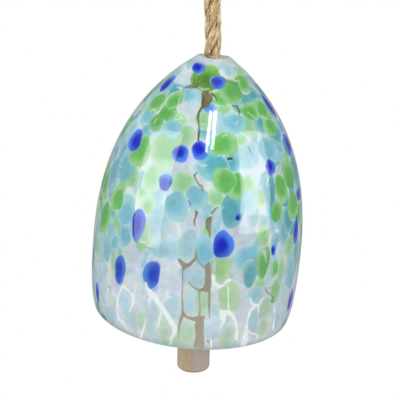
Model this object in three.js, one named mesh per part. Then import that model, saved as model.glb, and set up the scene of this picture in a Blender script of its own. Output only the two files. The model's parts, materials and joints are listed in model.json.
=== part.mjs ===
// Hanging glass bell: a blown shell on a knotted jute rope, with a wooden dowel on a twine as its clapper.
// Millimetres, +Z up. The origin is the point of the hanging loop that rests on its hook.
// +X is to the right and +Y away from someone who faces the bell.
import * as THREE from 'three';

// Glass bell, along its own axis
const BELL_HEIGHT = 160.5; // rim to crest
const BELL_RADIUS = 62.6; // outside, at the widest ring
const WIDEST_HEIGHT = 42; // of that ring above the rim
const RIM_RADIUS = 58; // outside, at the rim
const GLASS_WALL = 4; // both its edges are fire-polished to a full round
const DOME_RISE = 61; // how far the wall goes on upright above the widest ring
const CROWN_REACH = 39; // how far the crown's slope runs on before it steepens
const CROWN_SLOPE_DEG = 39;
const FOOT_FALL = 20; // how far the wall goes on upright below the widest ring
const RIM_REACH = 12; // how far the tucked-in rim runs on
const RIM_TUCK_DEG = 16;
const BELL_LEAN_DEG = 3.55; // the bell hangs a little askew on its knot

// Rope
const ROPE_D = 9.5;
const KNOT_ROPE_D = 6.6; // pulled tight in the knot
const STEM_LENGTH = 11.6; // from the whipping down to the stretch that bends
const BEND_LENGTH = 18; // the stretch that bends when the bell sways
const BEND_ABOVE_CREST = 10;
const CREST_X = 5.4; // the crest's centre, to the right of the hook
const KNOT_X = -0.3; // the stopper knot's middle, to the right of the hook
const KNOT_LEAN_DEG = 16; // the knot hangs askew too, its tail to the left
const KNOT_TURN_DEG = 84; // which way the knot's loops face
const KNOT_LEAD = 3; // straight rope at both ends of the knot

// Whipping that closes the hanging loop
const TWINE_D = 2.6;
const WHIPPING_TURNS = 8;
const WHIPPING_TOP = 61; // below the hook
const WHIPPING_SPACE = 0.5; // between two turns
const WHIPPING_SLACK = 0.4; // between the turns and the rope

// Clapper
const DOWEL_D = 20;
const DOWEL_LENGTH = 100;
const DOWEL_CHAMFER = 1.7;
const DOWEL_BELOW_RIM = 39.5; // how far the dowel hangs out of the bell
const TWINE_HOLE_DEPTH = 16; // blind hole in the dowel's upper end
const TWINE_ROOT_LENGTH = 5; // the part of the twine that only twists

// Clearances
const SEAT_GAP = 0.3; // between pieces that touch
const HOLE_CLEARANCE = 1.65; // all round the rope in the crown hole
const ROPE_OFF_CENTRE = 1.1; // the rope lies against the left of the hole
const SWING_GAP = 0.6; // lets the twine swing on its root

// Facets
const BELL_FACETS = 60;
const DOWEL_FACETS = 36;
const ROPE_SIDES = 10;
const TWINE_SIDES = 8;
const WINDING_SIDES = 6;
const WINDING_STEPS = 24; // a turn
const LOOP_STEPS = 60;
const BEND_STEPS = 4;
const THROAT_STEPS = 10;
const KNOT_STEPS = 80;
const TWINE_STEPS = 8;

// Worked out from the above
const rad = THREE.MathUtils.degToRad;
const LOOP_LEG_X = ROPE_D / 2 + SEAT_GAP; // the loop's two legs lie side by side
const WHIPPING_PITCH = TWINE_D + WHIPPING_SPACE;
const WHIPPING_BOTTOM = WHIPPING_TOP + WHIPPING_TURNS * WHIPPING_PITCH + TWINE_D;
const BEND_TOP = WHIPPING_BOTTOM + STEM_LENGTH;
const BEND_BOTTOM = BEND_TOP + BEND_LENGTH;
const CREST_DROP = BEND_BOTTOM + BEND_ABOVE_CREST; // the hook down to the crest
const CREST_RADIUS = ROPE_D / 2 + HOLE_CLEARANCE + GLASS_WALL / 2; // the ring on which the crown is highest
const ROPE_IN_HOLE_X = CREST_X - ROPE_OFF_CENTRE;
const DOWEL_BOTTOM = CREST_DROP + BELL_HEIGHT + DOWEL_BELOW_RIM;
const DOWEL_TOP = DOWEL_BOTTOM - DOWEL_LENGTH;

const point = (x, z) => new THREE.Vector3(x, 0, z);

// A round section of the given diameter, swept along a curve and closed at both ends
function tube(curve, diameter, sides, steps) {
  const section = new THREE.Shape();
  section.absarc(0, 0, diameter / 2, 0, 2 * Math.PI);
  const outline = new THREE.Shape(section.getSpacedPoints(sides).slice(0, sides));
  return new THREE.ExtrudeGeometry(outline, { extrudePath: curve, steps, bevelEnabled: false });
}

// A profile of [radius, height] points, turned about Z
function turned(profile, facets) {
  return new THREE.LatheGeometry(profile, facets).rotateX(Math.PI / 2);
}

// The least clear space between stretches of one cord that are not neighbours along it
function leastGapToItself(curve, diameter) {
  const samples = Math.ceil((12 * curve.getLength()) / diameter);
  const points = curve.getSpacedPoints(samples);
  const step = curve.getLength() / samples;
  const notNeighbours = 1.75 * diameter;
  const apart = Math.ceil(notNeighbours / step);
  let least = Infinity;
  for (let i = 0; i < points.length; i += 1) {
    for (let j = i + apart; j < points.length; j += 1) {
      least = Math.min(least, points[i].distanceTo(points[j]));
    }
  }
  return least - diameter;
}

// Glass bell: the middle line of its wall, thickened, with full-round edges at the rim and the crown hole

function wallLine() {
  const half = GLASS_WALL / 2;
  const widest = new THREE.Vector2(BELL_RADIUS - half, WIDEST_HEIGHT);
  const rim = new THREE.Vector2(RIM_RADIUS - half, half);
  const crest = new THREE.Vector2(CREST_RADIUS, BELL_HEIGHT - half);
  const tuck = new THREE.Vector2(Math.sin(rad(RIM_TUCK_DEG)), Math.cos(rad(RIM_TUCK_DEG)));
  const slope = new THREE.Vector2(Math.cos(rad(CROWN_SLOPE_DEG)), -Math.sin(rad(CROWN_SLOPE_DEG)));
  const foot = new THREE.CubicBezierCurve(
    rim,
    rim.clone().addScaledVector(tuck, RIM_REACH),
    new THREE.Vector2(widest.x, widest.y - FOOT_FALL),
    widest,
  );
  const dome = new THREE.CubicBezierCurve(
    widest,
    new THREE.Vector2(widest.x, widest.y + DOME_RISE),
    crest.clone().addScaledVector(slope, CROWN_REACH),
    crest,
  );
  return [foot, dome];
}

function bellProfile() {
  const half = GLASS_WALL / 2;
  const footSteps = 6;
  const domeSteps = 15;
  const edgeSteps = 5;
  const [foot, dome] = wallLine();
  const stations = [];
  for (let i = 0; i < footSteps; i += 1) stations.push([foot, i / footSteps]);
  for (let i = 0; i <= domeSteps; i += 1) stations.push([dome, i / domeSteps]);
  const middle = stations.map(([curve, u]) => curve.getPoint(u));
  const along = stations.map(([curve, u]) => curve.getTangent(u));
  const offset = (i, turn) => {
    const direction = along[i].clone().rotateAround(new THREE.Vector2(), turn);
    return middle[i].clone().addScaledVector(direction, half);
  };
  const last = stations.length - 1;
  const outside = middle.map((_, i) => offset(i, -Math.PI / 2));
  const inside = middle.map((_, i) => offset(i, Math.PI / 2)).reverse();
  const crownEdge = [];
  const rimEdge = [];
  for (let i = 1; i < edgeSteps; i += 1) {
    const turn = -Math.PI / 2 + (Math.PI * i) / edgeSteps;
    crownEdge.push(offset(last, turn));
    rimEdge.push(offset(0, turn + Math.PI));
  }
  return [...outside, ...crownEdge, ...inside, ...rimEdge, outside[0].clone()];
}

function glassBell() {
  return turned(bellProfile(), BELL_FACETS).translate(0, 0, -BELL_HEIGHT);
}

// Rope

// Half of the hanging loop, from its top down to the whipping: a ring two rope diameters in radius,
// drawn in below to two legs that lie side by side
const LOOP_HALF = [
  [7.3, 3.3],
  [13.4, -0.8],
  [17.2, -6.2],
  [19, -14],
  [17.6, -26],
  [13.6, -38.5],
  [8.8, -50],
  [5.6, -57.5],
].map(([x, z]) => point(x, z));
const BEND_TOP_X = 3.6;
const BEND_BOTTOM_X = 4.4;

function hangingLoopRoute() {
  const legHeights = [WHIPPING_TOP, (WHIPPING_TOP + WHIPPING_BOTTOM) / 2, WHIPPING_BOTTOM];
  const down = [...LOOP_HALF, ...legHeights.map((drop) => point(LOOP_LEG_X, -drop))];
  const up = down.map((p) => point(-p.x, p.z)).reverse();
  const stem = [
    point(3.9, -WHIPPING_BOTTOM - STEM_LENGTH * 0.45),
    point(3.5, -WHIPPING_BOTTOM - STEM_LENGTH * 0.7),
    point(BEND_TOP_X, -BEND_TOP + SEAT_GAP / 2),
  ];
  return new THREE.CatmullRomCurve3([...up, point(0, ROPE_D / 2), ...down, ...stem]);
}

function bendRoute() {
  return new THREE.CatmullRomCurve3([
    point(BEND_TOP_X, -BEND_TOP - SEAT_GAP / 2),
    point(4.1, -BEND_TOP - BEND_LENGTH / 2),
    point(BEND_BOTTOM_X, -BEND_BOTTOM + SEAT_GAP / 2),
  ]);
}

// Overhand stopper knot: a long trefoil with straight leads, sized in rope diameters
class OverhandKnot extends THREE.Curve {
  constructor(diameter, lead) {
    super();
    this.diameter = diameter;
    this.lead = lead;
    this.leadShare = 0.06; // of the curve's run, at each end
  }

  loops(t) {
    const across = 0.632 * Math.cos(t) - 1.333 * Math.cos(2 * t) - 0.047 * Math.cos(3 * t);
    const deep = -0.046 * Math.sin(t) - 0.845 * Math.sin(3 * t);
    const pull = 1.443 * (t / Math.PI) ** 5;
    const high = 0.371 * Math.sin(t) + 1.465 * Math.sin(2 * t) - 0.179 * Math.sin(3 * t) + pull;
    const acrossAtEnds = -0.632 - 1.333 + 0.047;
    return new THREE.Vector3(across - acrossAtEnds, deep, high).multiplyScalar(this.diameter);
  }

  getPoint(u, target = new THREE.Vector3()) {
    const s = (u - this.leadShare) / (1 - 2 * this.leadShare);
    const t = Math.PI * (1 - 2 * THREE.MathUtils.clamp(s, 0, 1));
    target.copy(this.loops(t));
    const beyond = Math.max(-s, s - 1);
    if (beyond > 0) {
      const nudge = 1e-3;
      const outward = target.clone().sub(this.loops(t * (1 - nudge))).normalize();
      const run = (beyond * (1 - 2 * this.leadShare)) / this.leadShare;
      target.addScaledVector(outward, this.lead * run);
    }
    return target;
  }
}

const knot = new OverhandKnot(KNOT_ROPE_D, KNOT_LEAD);

const bellPlace = new THREE.Object3D();
bellPlace.position.set(CREST_X, 0, -CREST_DROP);
bellPlace.rotation.y = rad(BELL_LEAN_DEG);
bellPlace.updateMatrix();

function knotPlaceAt(depth) {
  const place = new THREE.Object3D();
  place.position.set(KNOT_X, 0, -CREST_DROP - depth);
  place.rotation.set(0, rad(KNOT_LEAN_DEG), rad(KNOT_TURN_DEG), 'YZX');
  place.updateMatrix();
  return place;
}

// The knot is let down from the crest until it clears the glass all round
function seatedKnotPlace() {
  const letDownBy = 0.05;
  const wallSamples = 60;
  const ropeSamples = 160;
  const clearDistance = (GLASS_WALL + KNOT_ROPE_D) / 2 + SEAT_GAP;
  const dome = wallLine()[1];
  const wall = dome.getPoints(wallSamples).map((p) => new THREE.Vector2(p.x, p.y - BELL_HEIGHT));
  const ropeLine = knot.getSpacedPoints(ropeSamples);
  const intoBell = bellPlace.matrix.clone().invert();
  const touches = (place) => {
    const toBell = intoBell.clone().multiply(place.matrix);
    return ropeLine.some((p) => {
      const q = p.clone().applyMatrix4(toBell);
      const inProfile = new THREE.Vector2(Math.hypot(q.x, q.y), q.z);
      return wall.some((w) => w.distanceTo(inProfile) < clearDistance);
    });
  };
  let depth = KNOT_ROPE_D;
  while (touches(knotPlaceAt(depth))) depth += letDownBy;
  return knotPlaceAt(depth);
}

const knotPlace = seatedKnotPlace();
const onKnot = (u) => knot.getPoint(u).applyMatrix4(knotPlace.matrix);

function throatRoute() {
  const top = onKnot(0);
  const intoKnot = onKnot(0.01).sub(top).normalize();
  const end = top.clone().addScaledVector(intoKnot, -SEAT_GAP);
  const above = end.clone().addScaledVector(intoKnot, -ROPE_D / 3);
  return new THREE.CatmullRomCurve3([
    point(BEND_BOTTOM_X, -BEND_BOTTOM - SEAT_GAP / 2),
    point(ROPE_IN_HOLE_X, -CREST_DROP),
    point(ROPE_IN_HOLE_X, -CREST_DROP - GLASS_WALL),
    above,
    end,
  ]);
}

// Whipping: one unbroken winding round both legs of the hanging loop, its ends left straight
class LegWinding extends THREE.Curve {
  constructor(turns, pitch, legX, radius, top) {
    super();
    Object.assign(this, { turns, pitch, legX, radius, top });
    this.straight = 4 * legX;
    this.once = this.straight + 2 * Math.PI * radius;
  }

  getPoint(u, target = new THREE.Vector3()) {
    const run = u * this.turns * this.once;
    const z = this.top - (run / this.once) * this.pitch;
    let s = run % this.once;
    const side = this.straight / 2;
    const arc = Math.PI * this.radius;
    if (s < side / 2) return target.set(s, -this.radius, z);
    s -= side / 2;
    if (s < arc) return this.onArc(s, this.legX, -Math.PI / 2, z, target);
    s -= arc;
    if (s < side) return target.set(this.legX - s, this.radius, z);
    s -= side;
    if (s < arc) return this.onArc(s, -this.legX, Math.PI / 2, z, target);
    return target.set(s - arc - this.legX, -this.radius, z);
  }

  onArc(s, x, from, z, target) {
    const a = from + s / this.radius;
    return target.set(x + this.radius * Math.cos(a), this.radius * Math.sin(a), z);
  }
}

// Clapper

const TWINE_HOLE_D = TWINE_D + 2 * SEAT_GAP;

function clapperDowel() {
  const r = DOWEL_D / 2;
  const hole = TWINE_HOLE_D / 2;
  const floor = DOWEL_LENGTH - TWINE_HOLE_DEPTH;
  const profile = [
    [0, 0],
    [r - DOWEL_CHAMFER, 0],
    [r, DOWEL_CHAMFER],
    [r, DOWEL_LENGTH - DOWEL_CHAMFER],
    [r - DOWEL_CHAMFER, DOWEL_LENGTH],
    [hole, DOWEL_LENGTH],
    [hole, floor],
    [0, floor],
  ].map(([x, z]) => new THREE.Vector2(x, z));
  return turned(profile, DOWEL_FACETS);
}

// The twine comes out of the end of the knot's slanting tail and hangs plumb
const tail = onKnot(1);
const tailRun = tail.clone().sub(onKnot(0.99));
const tailSlant = Math.hypot(tailRun.x, tailRun.y) / Math.abs(tailRun.z);
const TWINE_ROOT_TOP = tail.z - (TWINE_D / 2) * tailSlant - SEAT_GAP;
const TWINE_TOP = TWINE_ROOT_TOP - TWINE_ROOT_LENGTH - SWING_GAP;
const TWINE_BOTTOM = -DOWEL_TOP - TWINE_HOLE_DEPTH + SEAT_GAP;
const onPlumbLine = (z) => new THREE.Vector3(tail.x, tail.y, z);
const plumb = (from, to) => new THREE.LineCurve3(onPlumbLine(from), onPlumbLine(to));

// Materials and the assembly

function material(color, roughness, extra = {}) {
  return new THREE.MeshStandardMaterial({ color, roughness, metalness: 0, ...extra });
}

function mesh(name, geometry, finish) {
  const piece = new THREE.Mesh(geometry, finish);
  piece.name = name;
  return piece;
}

const glass = material(0x9fd0d8, 0.05, { transparent: true, opacity: 0.6 });
const jute = material(0xcfa878, 0.95);
const twine = material(0x9c7448, 0.95);
const wood = material(0xc2a78a, 0.75);

const chime = new THREE.Group();

const bell = mesh('glass_bell', glassBell(), glass);
bell.applyMatrix4(bellPlace.matrix);
chime.add(bell);

chime.add(mesh('hanging_loop', tube(hangingLoopRoute(), ROPE_D, ROPE_SIDES, LOOP_STEPS), jute));
chime.add(mesh('rope_bend', tube(bendRoute(), ROPE_D, ROPE_SIDES, BEND_STEPS), jute));
chime.add(mesh('rope_throat', tube(throatRoute(), ROPE_D, ROPE_SIDES, THROAT_STEPS), jute));

const stopperKnot = mesh('stopper_knot', tube(knot, KNOT_ROPE_D, ROPE_SIDES, KNOT_STEPS), jute);
stopperKnot.applyMatrix4(knotPlace.matrix);
chime.add(stopperKnot);

const winding = new LegWinding(
  WHIPPING_TURNS,
  WHIPPING_PITCH,
  LOOP_LEG_X,
  ROPE_D / 2 + TWINE_D / 2 + WHIPPING_SLACK,
  -WHIPPING_TOP - TWINE_D / 2,
);
const whipping = tube(winding, TWINE_D, WINDING_SIDES, WHIPPING_TURNS * WINDING_STEPS);
chime.add(mesh('loop_whipping', whipping, twine));

const rootLine = plumb(TWINE_ROOT_TOP, TWINE_ROOT_TOP - TWINE_ROOT_LENGTH);
chime.add(mesh('twine_root', tube(rootLine, TWINE_D, TWINE_SIDES, 1), twine));
const swingLine = plumb(TWINE_TOP, TWINE_BOTTOM);
chime.add(mesh('clapper_twine', tube(swingLine, TWINE_D, TWINE_SIDES, TWINE_STEPS), twine));

const dowel = mesh('clapper_dowel', clapperDowel(), wood);
dowel.position.copy(onPlumbLine(-DOWEL_BOTTOM));
chime.add(dowel);

console.log('least gap of the stopper knot to itself, mm:', leastGapToItself(knot, KNOT_ROPE_D).toFixed(2));
console.log('least gap of the whipping to itself, mm:', leastGapToItself(winding, TWINE_D).toFixed(2));

export default chime;
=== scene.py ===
"""Hanging glass bell: a blown, speckled shell on a jute rope, with a wooden dowel on a twine as its clapper.

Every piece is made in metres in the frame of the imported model, with its place in its mesh.
"""
from __future__ import annotations

import json
import logging
import math
from dataclasses import dataclass, field
from enum import Enum
from typing import Callable, Iterator, Sequence

import bpy
import numpy as np
from mathutils import Matrix, Vector

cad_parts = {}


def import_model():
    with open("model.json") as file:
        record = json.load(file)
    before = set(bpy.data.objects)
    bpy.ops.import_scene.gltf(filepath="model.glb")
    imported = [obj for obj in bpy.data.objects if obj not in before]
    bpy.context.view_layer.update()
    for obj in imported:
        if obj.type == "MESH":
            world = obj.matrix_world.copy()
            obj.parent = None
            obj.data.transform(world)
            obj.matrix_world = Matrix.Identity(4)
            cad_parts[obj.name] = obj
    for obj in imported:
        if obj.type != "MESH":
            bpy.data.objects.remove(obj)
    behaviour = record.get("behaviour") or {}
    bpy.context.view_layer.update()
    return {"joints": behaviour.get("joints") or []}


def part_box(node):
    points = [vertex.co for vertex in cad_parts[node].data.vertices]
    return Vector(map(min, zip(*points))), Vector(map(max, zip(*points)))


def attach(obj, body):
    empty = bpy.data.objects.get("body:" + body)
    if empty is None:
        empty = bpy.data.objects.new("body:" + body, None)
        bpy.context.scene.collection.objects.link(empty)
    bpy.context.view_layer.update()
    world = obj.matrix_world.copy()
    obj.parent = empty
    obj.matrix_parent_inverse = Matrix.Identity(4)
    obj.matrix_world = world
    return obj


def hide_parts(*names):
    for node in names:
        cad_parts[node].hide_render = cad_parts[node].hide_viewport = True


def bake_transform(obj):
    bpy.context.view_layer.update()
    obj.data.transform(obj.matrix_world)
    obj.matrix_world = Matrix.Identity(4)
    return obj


MM = 0.001
LOG = logging.getLogger("glass_wind_chime")

Array = np.ndarray
Point = tuple[float, float, float]
Colour = tuple[float, float, float]
Flat = tuple[float, float]
ChipRow = tuple[float, float, float, float]
Stroke = tuple[Point, ...]
Window = tuple[Array, Array]
Piece = bpy.types.Object
Material = bpy.types.Material
Socket = bpy.types.NodeSocket
Feeds = dict[str | int, object]
Fibre = tuple[Array, list[list[int]], Array]


def linear(red: int, green: int, blue: int) -> Colour:
    """Turn a colour as seen on a screen, 0 to 255, into the linear colour, 0 to 1, that shaders take."""
    shares = (value / 255 for value in (red, green, blue))
    return tuple(share / 12.92 if share <= 0.04045 else ((share + 0.055) / 1.055) ** 2.4 for share in shares)


def opaque(colour: Colour) -> tuple[float, float, float, float]:
    """Give a colour its alpha of 1."""
    return (*colour, 1.0)


def unit(rows: Array) -> Array:
    """Scale each row to length 1."""
    return rows / np.linalg.norm(rows, axis=-1, keepdims=True)


def fade(value: Array, full: float, none: float) -> Array:
    """Fall softly from 1, where a value reaches full, to 0, where it reaches none."""
    share = np.clip((value - none) / (full - none), 0, 1)
    return share * share * (3 - 2 * share)


def cells(grid: Array) -> Array:
    """List what a grid holds at the four corners of each of its cells, in their order round the cell."""
    return np.stack([grid[:-1, :-1], grid[:-1, 1:], grid[1:, 1:], grid[1:, :-1]], axis=2)


def bezier(corners: Sequence[Flat], count: int) -> Array:
    """Sample a cubic Bezier curve evenly in its parameter.

    Args:
        corners: its four control points.
        count: how many points, both ends among them.

    Returns:
        The points, one in each row.
    """
    t = np.linspace(0, 1, count)[:, None]
    a, b, c, d = (np.array(corner) for corner in corners)
    return (1 - t) ** 3 * a + 3 * t * (1 - t) ** 2 * b + 3 * t ** 2 * (1 - t) * c + t ** 3 * d


def smooth_route(points: Sequence[Sequence[float]], per_span: int = 24) -> Array:
    """Draw a centripetal Catmull-Rom curve through the points of a route.

    Args:
        points: the points that were chosen for the route.
        per_span: how many samples each span between two points gets.

    Returns:
        The samples, one in each row.
    """
    knots = np.array(points, dtype=float)
    knots = np.vstack([2 * knots[0] - knots[1], knots, 2 * knots[-1] - knots[-2]])
    t = np.linspace(0, 1, per_span, endpoint=False)[:, None]
    spans = []
    for a, b, c, d in zip(knots, knots[1:], knots[2:], knots[3:]):
        before, here, after = (math.sqrt(np.linalg.norm(q - p)) for p, q in ((a, b), (b, c), (c, d)))
        leave = (b - a) / before - (c - a) / (before + here) + (c - b) / here
        arrive = (c - b) / here - (d - b) / (here + after) + (d - c) / after
        leave, arrive = leave * here, arrive * here
        square = 3 * (c - b) - 2 * leave - arrive
        cube = 2 * (b - c) + leave + arrive
        spans.append(b + leave * t + square * t ** 2 + cube * t ** 3)
    return np.vstack([*spans, knots[-2:-1]])


def run_of(line: Array) -> Array:
    """Measure the run along a line up to each of its points."""
    steps = np.linalg.norm(np.diff(line, axis=0), axis=1)
    return np.concatenate([[0.0], np.cumsum(steps)])


def evenly(line: Array, step: float) -> Array:
    """Sample a line again at an even step.

    Args:
        line: its points, one in each row.
        step: about how far apart the new points are.

    Returns:
        The new points, both ends among them.
    """
    run = run_of(line)
    count = max(2, round(run[-1] / step) + 1)
    places = np.linspace(0, run[-1], count)
    return np.column_stack([np.interp(places, run, line[:, axis]) for axis in range(3)])


def direction(azimuth: float, elevation: float) -> Vector:
    """Point away from the bell, by degrees to the right of the front and degrees above the level."""
    turn, rise = math.radians(azimuth), math.radians(elevation)
    return Vector((math.sin(turn) * math.cos(rise), -math.cos(turn) * math.cos(rise), math.sin(rise)))


class Bench:
    """Short ways to the modelling operators."""

    @staticmethod
    def clear() -> None:
        """Leave edit mode and deselect everything."""
        if bpy.context.mode != "OBJECT":
            bpy.ops.object.mode_set(mode="OBJECT")
        bpy.ops.object.select_all(action="DESELECT")

    @staticmethod
    def take(name: str) -> Piece:
        """Name the piece that an operator has just added.

        Args:
            name: its name.

        Returns:
            The piece.
        """
        piece = bpy.context.active_object
        piece.name = name
        piece.data.name = name
        return piece

    @staticmethod
    def pick(piece: Piece, kind: str, wanted: Callable[[bpy.types.bpy_struct], bool]) -> None:
        """Go into edit mode with only the wanted faces or edges selected.

        Args:
            piece: the active piece.
            kind: what is picked, FACE or EDGE.
            wanted: says of each face or edge whether it is wanted.
        """
        bpy.ops.object.mode_set(mode="EDIT")
        bpy.ops.mesh.select_mode(type=kind)
        bpy.ops.mesh.select_all(action="DESELECT")
        bpy.ops.object.mode_set(mode="OBJECT")
        for part in piece.data.polygons if kind == "FACE" else piece.data.edges:
            part.select = wanted(part)
        bpy.ops.object.mode_set(mode="EDIT")

    @staticmethod
    def smooth(piece: Piece, angle: float) -> None:
        """Shade a piece smooth, but for its sharp edges.

        Args:
            piece: the piece.
            angle: how sharp an edge has to be to stay so, in degrees.
        """
        Bench.clear()
        piece.select_set(True)
        bpy.context.view_layer.objects.active = piece
        bpy.ops.object.shade_smooth_by_angle(angle=math.radians(angle))
        Bench.clear()

    @staticmethod
    def from_arrays(name: str, corners: Array, faces: list[list[int]]) -> Piece:
        """Make a smooth-shaded mesh piece from its corners and faces.

        Args:
            name: the piece's name.
            corners: its corners in metres, one in each row.
            faces: the corner numbers of each face, seen from outside.

        Returns:
            The new piece.
        """
        mesh = bpy.data.meshes.new(name)
        mesh.from_pydata(corners.tolist(), [], faces)
        mesh.polygons.foreach_set("use_smooth", [True] * len(mesh.polygons))
        piece = bpy.data.objects.new(name, mesh)
        bpy.context.scene.collection.objects.link(piece)
        return piece

    @staticmethod
    def store(piece: Piece, name: str, values: Array) -> None:
        """Store an attribute on the corners of a piece.

        Args:
            piece: the piece.
            name: the attribute's name.
            values: for each corner a value, or a colour with its alpha.
        """
        plain = values.ndim == 1
        attribute = piece.data.attributes.new(name, "FLOAT" if plain else "FLOAT_COLOR", "POINT")
        attribute.data.foreach_set("value" if plain else "color", values.ravel())


class Board:
    """A node tree that is being wired. What feeds an input is a socket or a plain value."""

    def __init__(self, tree: bpy.types.NodeTree) -> None:
        """Start on a tree that holds no nodes."""
        self.tree = tree
        tree.nodes.clear()

    @classmethod
    def for_material(cls, name: str) -> tuple[Material, Board]:
        """Start a new material.

        Args:
            name: its name.

        Returns:
            The material, and the board for its nodes.
        """
        material = bpy.data.materials.new(name)
        material.use_nodes = True
        return material, cls(material.node_tree)

    def add(self, kind: str, feeds: Feeds | None = None, **settings: object) -> bpy.types.Node:
        """Add a node.

        Args:
            kind: its type.
            feeds: what feeds its inputs, by their names or numbers.
            settings: its properties.

        Returns:
            The node.
        """
        node = self.tree.nodes.new(kind)
        for name, value in settings.items():
            setattr(node, name, value)
        for name, source in (feeds or {}).items():
            if isinstance(source, Socket):
                self.tree.links.new(source, node.inputs[name])
            else:
                node.inputs[name].default_value = source
        return node

    def noise(self, place: Socket, scale: float, detail: float = 2.0, roughness: float = 0.5) -> Socket:
        """Give a noise of 0 to 1, by its scale, how many finer layers it has and how strong they are."""
        feeds = {"Vector": place, "Scale": scale, "Detail": detail, "Roughness": roughness}
        return self.add("ShaderNodeTexNoise", feeds).outputs["Fac"]

    def stretch(self, place: Socket, scale: Point, location: Point = (0, 0, 0)) -> Socket:
        """Make a pattern finer along each axis by its scale, and move it."""
        feeds = {"Vector": place, "Scale": scale, "Location": location}
        return self.add("ShaderNodeMapping", feeds).outputs["Vector"]

    def apart(self, place: Socket) -> bpy.types.NodeOutputs:
        """Take a place apart into its X, Y and Z."""
        return self.add("ShaderNodeSeparateXYZ", {0: place}).outputs

    def sum(self, operation: str, first: object, second: object) -> Socket:
        """Work out one value from two, by an operation of the math node."""
        return self.add("ShaderNodeMath", {0: first, 1: second}, operation=operation).outputs[0]

    def between(self, value: Socket, low: float, high: float, strength: float | None = None) -> Socket:
        """Turn a value into a share, with soft ends.

        Args:
            value: the value.
            low: where the share is 0.
            high: where it is full.
            strength: the full share, 1 if none is given.

        Returns:
            The share.
        """
        feeds = {"Value": value, "From Min": low, "From Max": high}
        share = self.add("ShaderNodeMapRange", feeds, interpolation_type="SMOOTHSTEP").outputs["Result"]
        return share if strength is None else self.sum("MULTIPLY", share, strength)

    def blend(self, share: object, first: object, second: object, mode: str = "MIX") -> Socket:
        """Mix two colours, by the share of the second and the mix node's blend type."""
        feeds = {0: share, 6: first, 7: second}  # the inputs of the mix node that are for colours
        return self.add("ShaderNodeMix", feeds, data_type="RGBA", blend_type=mode).outputs[2]

    def bump(self, height: Socket, distance: float) -> Socket:
        """Turn a height into a normal, with 0 and 1 a distance in metres apart."""
        feeds = {"Height": height, "Distance": distance, "Strength": 1.0}
        return self.add("ShaderNodeBump", feeds).outputs["Normal"]

    def shader(self, kind: str, feeds: Feeds | None = None) -> Socket:
        """Add a shader and give its output."""
        return self.add(f"ShaderNode{kind}", feeds).outputs[0]

    def mix(self, share: object, first: Socket, second: Socket) -> Socket:
        """Mix two shaders, by the share of the second."""
        return self.shader("MixShader", {0: share, 1: first, 2: second})

    def finish(self, shader: Socket, kind: str = "Material") -> None:
        """Put a shader on the surface of a material or a world."""
        self.add(f"ShaderNodeOutput{kind}", {"Surface": shader})


def fibre_group() -> bpy.types.NodeTree:
    """Build the node group of twisted plant fibre: fine streaks along the yarn, in three tones.

    Returns:
        The group, with a place and three tones as inputs, and a colour and a height as outputs.
    """
    tree = bpy.data.node_groups.new("Plant fibre", "ShaderNodeTree")
    board = Board(tree)
    tree.interface.new_socket("Place", in_out="INPUT", socket_type="NodeSocketVector")
    for tone in ("Shade", "Body", "Light"):
        tree.interface.new_socket(tone, in_out="INPUT", socket_type="NodeSocketColor")
    tree.interface.new_socket("Colour", in_out="OUTPUT", socket_type="NodeSocketColor")
    tree.interface.new_socket("Height", in_out="OUTPUT", socket_type="NodeSocketFloat")
    wander_width, fine_share, clump_share = 0.35, 0.7, 0.3
    given = board.add("NodeGroupInput").outputs
    wander = board.noise(board.stretch(given["Place"], (2.6, 2.2, 1)), 1.0, 1)
    place = board.apart(given["Place"])
    aside = board.sum("ADD", place["Y"], board.sum("MULTIPLY", wander, wander_width))
    fibre = board.add("ShaderNodeCombineXYZ", {"X": place["X"], "Y": aside}).outputs[0]
    fine = board.noise(board.stretch(fibre, (1.9, 17, 1)), 1.0, 2, 0.6)
    clump = board.noise(board.stretch(fibre, (0.9, 4.5, 1), (5, 3, 0)), 1.0, 2)
    parts = (board.sum("MULTIPLY", *part) for part in ((fine, fine_share), (clump, clump_share)))
    streak = board.sum("ADD", *parts)
    low = board.blend(board.between(streak, 0.38, 0.48), given["Shade"], given["Body"])
    soft = board.blend(board.between(streak, 0.5, 0.6), low, given["Light"])
    board.add("NodeGroupOutput", {"Colour": soft, "Height": streak})
    return tree


@dataclass(frozen=True)
class FibreFinish:
    """Matt plant fibre of a laid cord, with painted shade in the grooves between its strands."""

    name: str
    shade: Colour
    body: Colour
    light: Colour
    # groove and groove_share: the colour and strength of the painted shade in the grooves between the strands
    groove: Colour
    relief: float
    groove_share: float = 0.7  # how dark the grooves between the strands get

    def material(self, group: bpy.types.NodeTree) -> Material:
        """Make the material.

        Args:
            group: the node group of twisted plant fibre.

        Returns:
            The material, which reads the UV map "strand" and the attribute "fullness".
        """
        material, board = Board.for_material(self.name)
        feeds = {"Place": board.add("ShaderNodeUVMap", uv_map="strand").outputs["UV"]}
        for name, tone in (("Shade", self.shade), ("Body", self.body), ("Light", self.light)):
            feeds[name] = opaque(tone)
        fibre = board.add("ShaderNodeGroup", feeds, node_tree=group).outputs
        fullness = board.add("ShaderNodeAttribute", attribute_name="fullness").outputs["Fac"]
        # painted shade: darker where the strands meet, broken up by the low streaks of the fibre
        streaky_shade = board.between(fibre["Height"], 0.56, 0.4, self.groove_share)
        deep = board.sum("MULTIPLY", board.between(fullness, 0.74, 0.6), streaky_shade)
        board.finish(board.shader("BsdfPrincipled", {
            "Base Color": board.blend(deep, fibre["Colour"], opaque(self.groove)),
            "Normal": board.bump(fibre["Height"], self.relief),
            "Roughness": 0.9,
            "Specular IOR Level": 0.2,
            "Sheen Weight": 0.25,
            "Sheen Roughness": 0.5,
        }))
        return material


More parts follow.
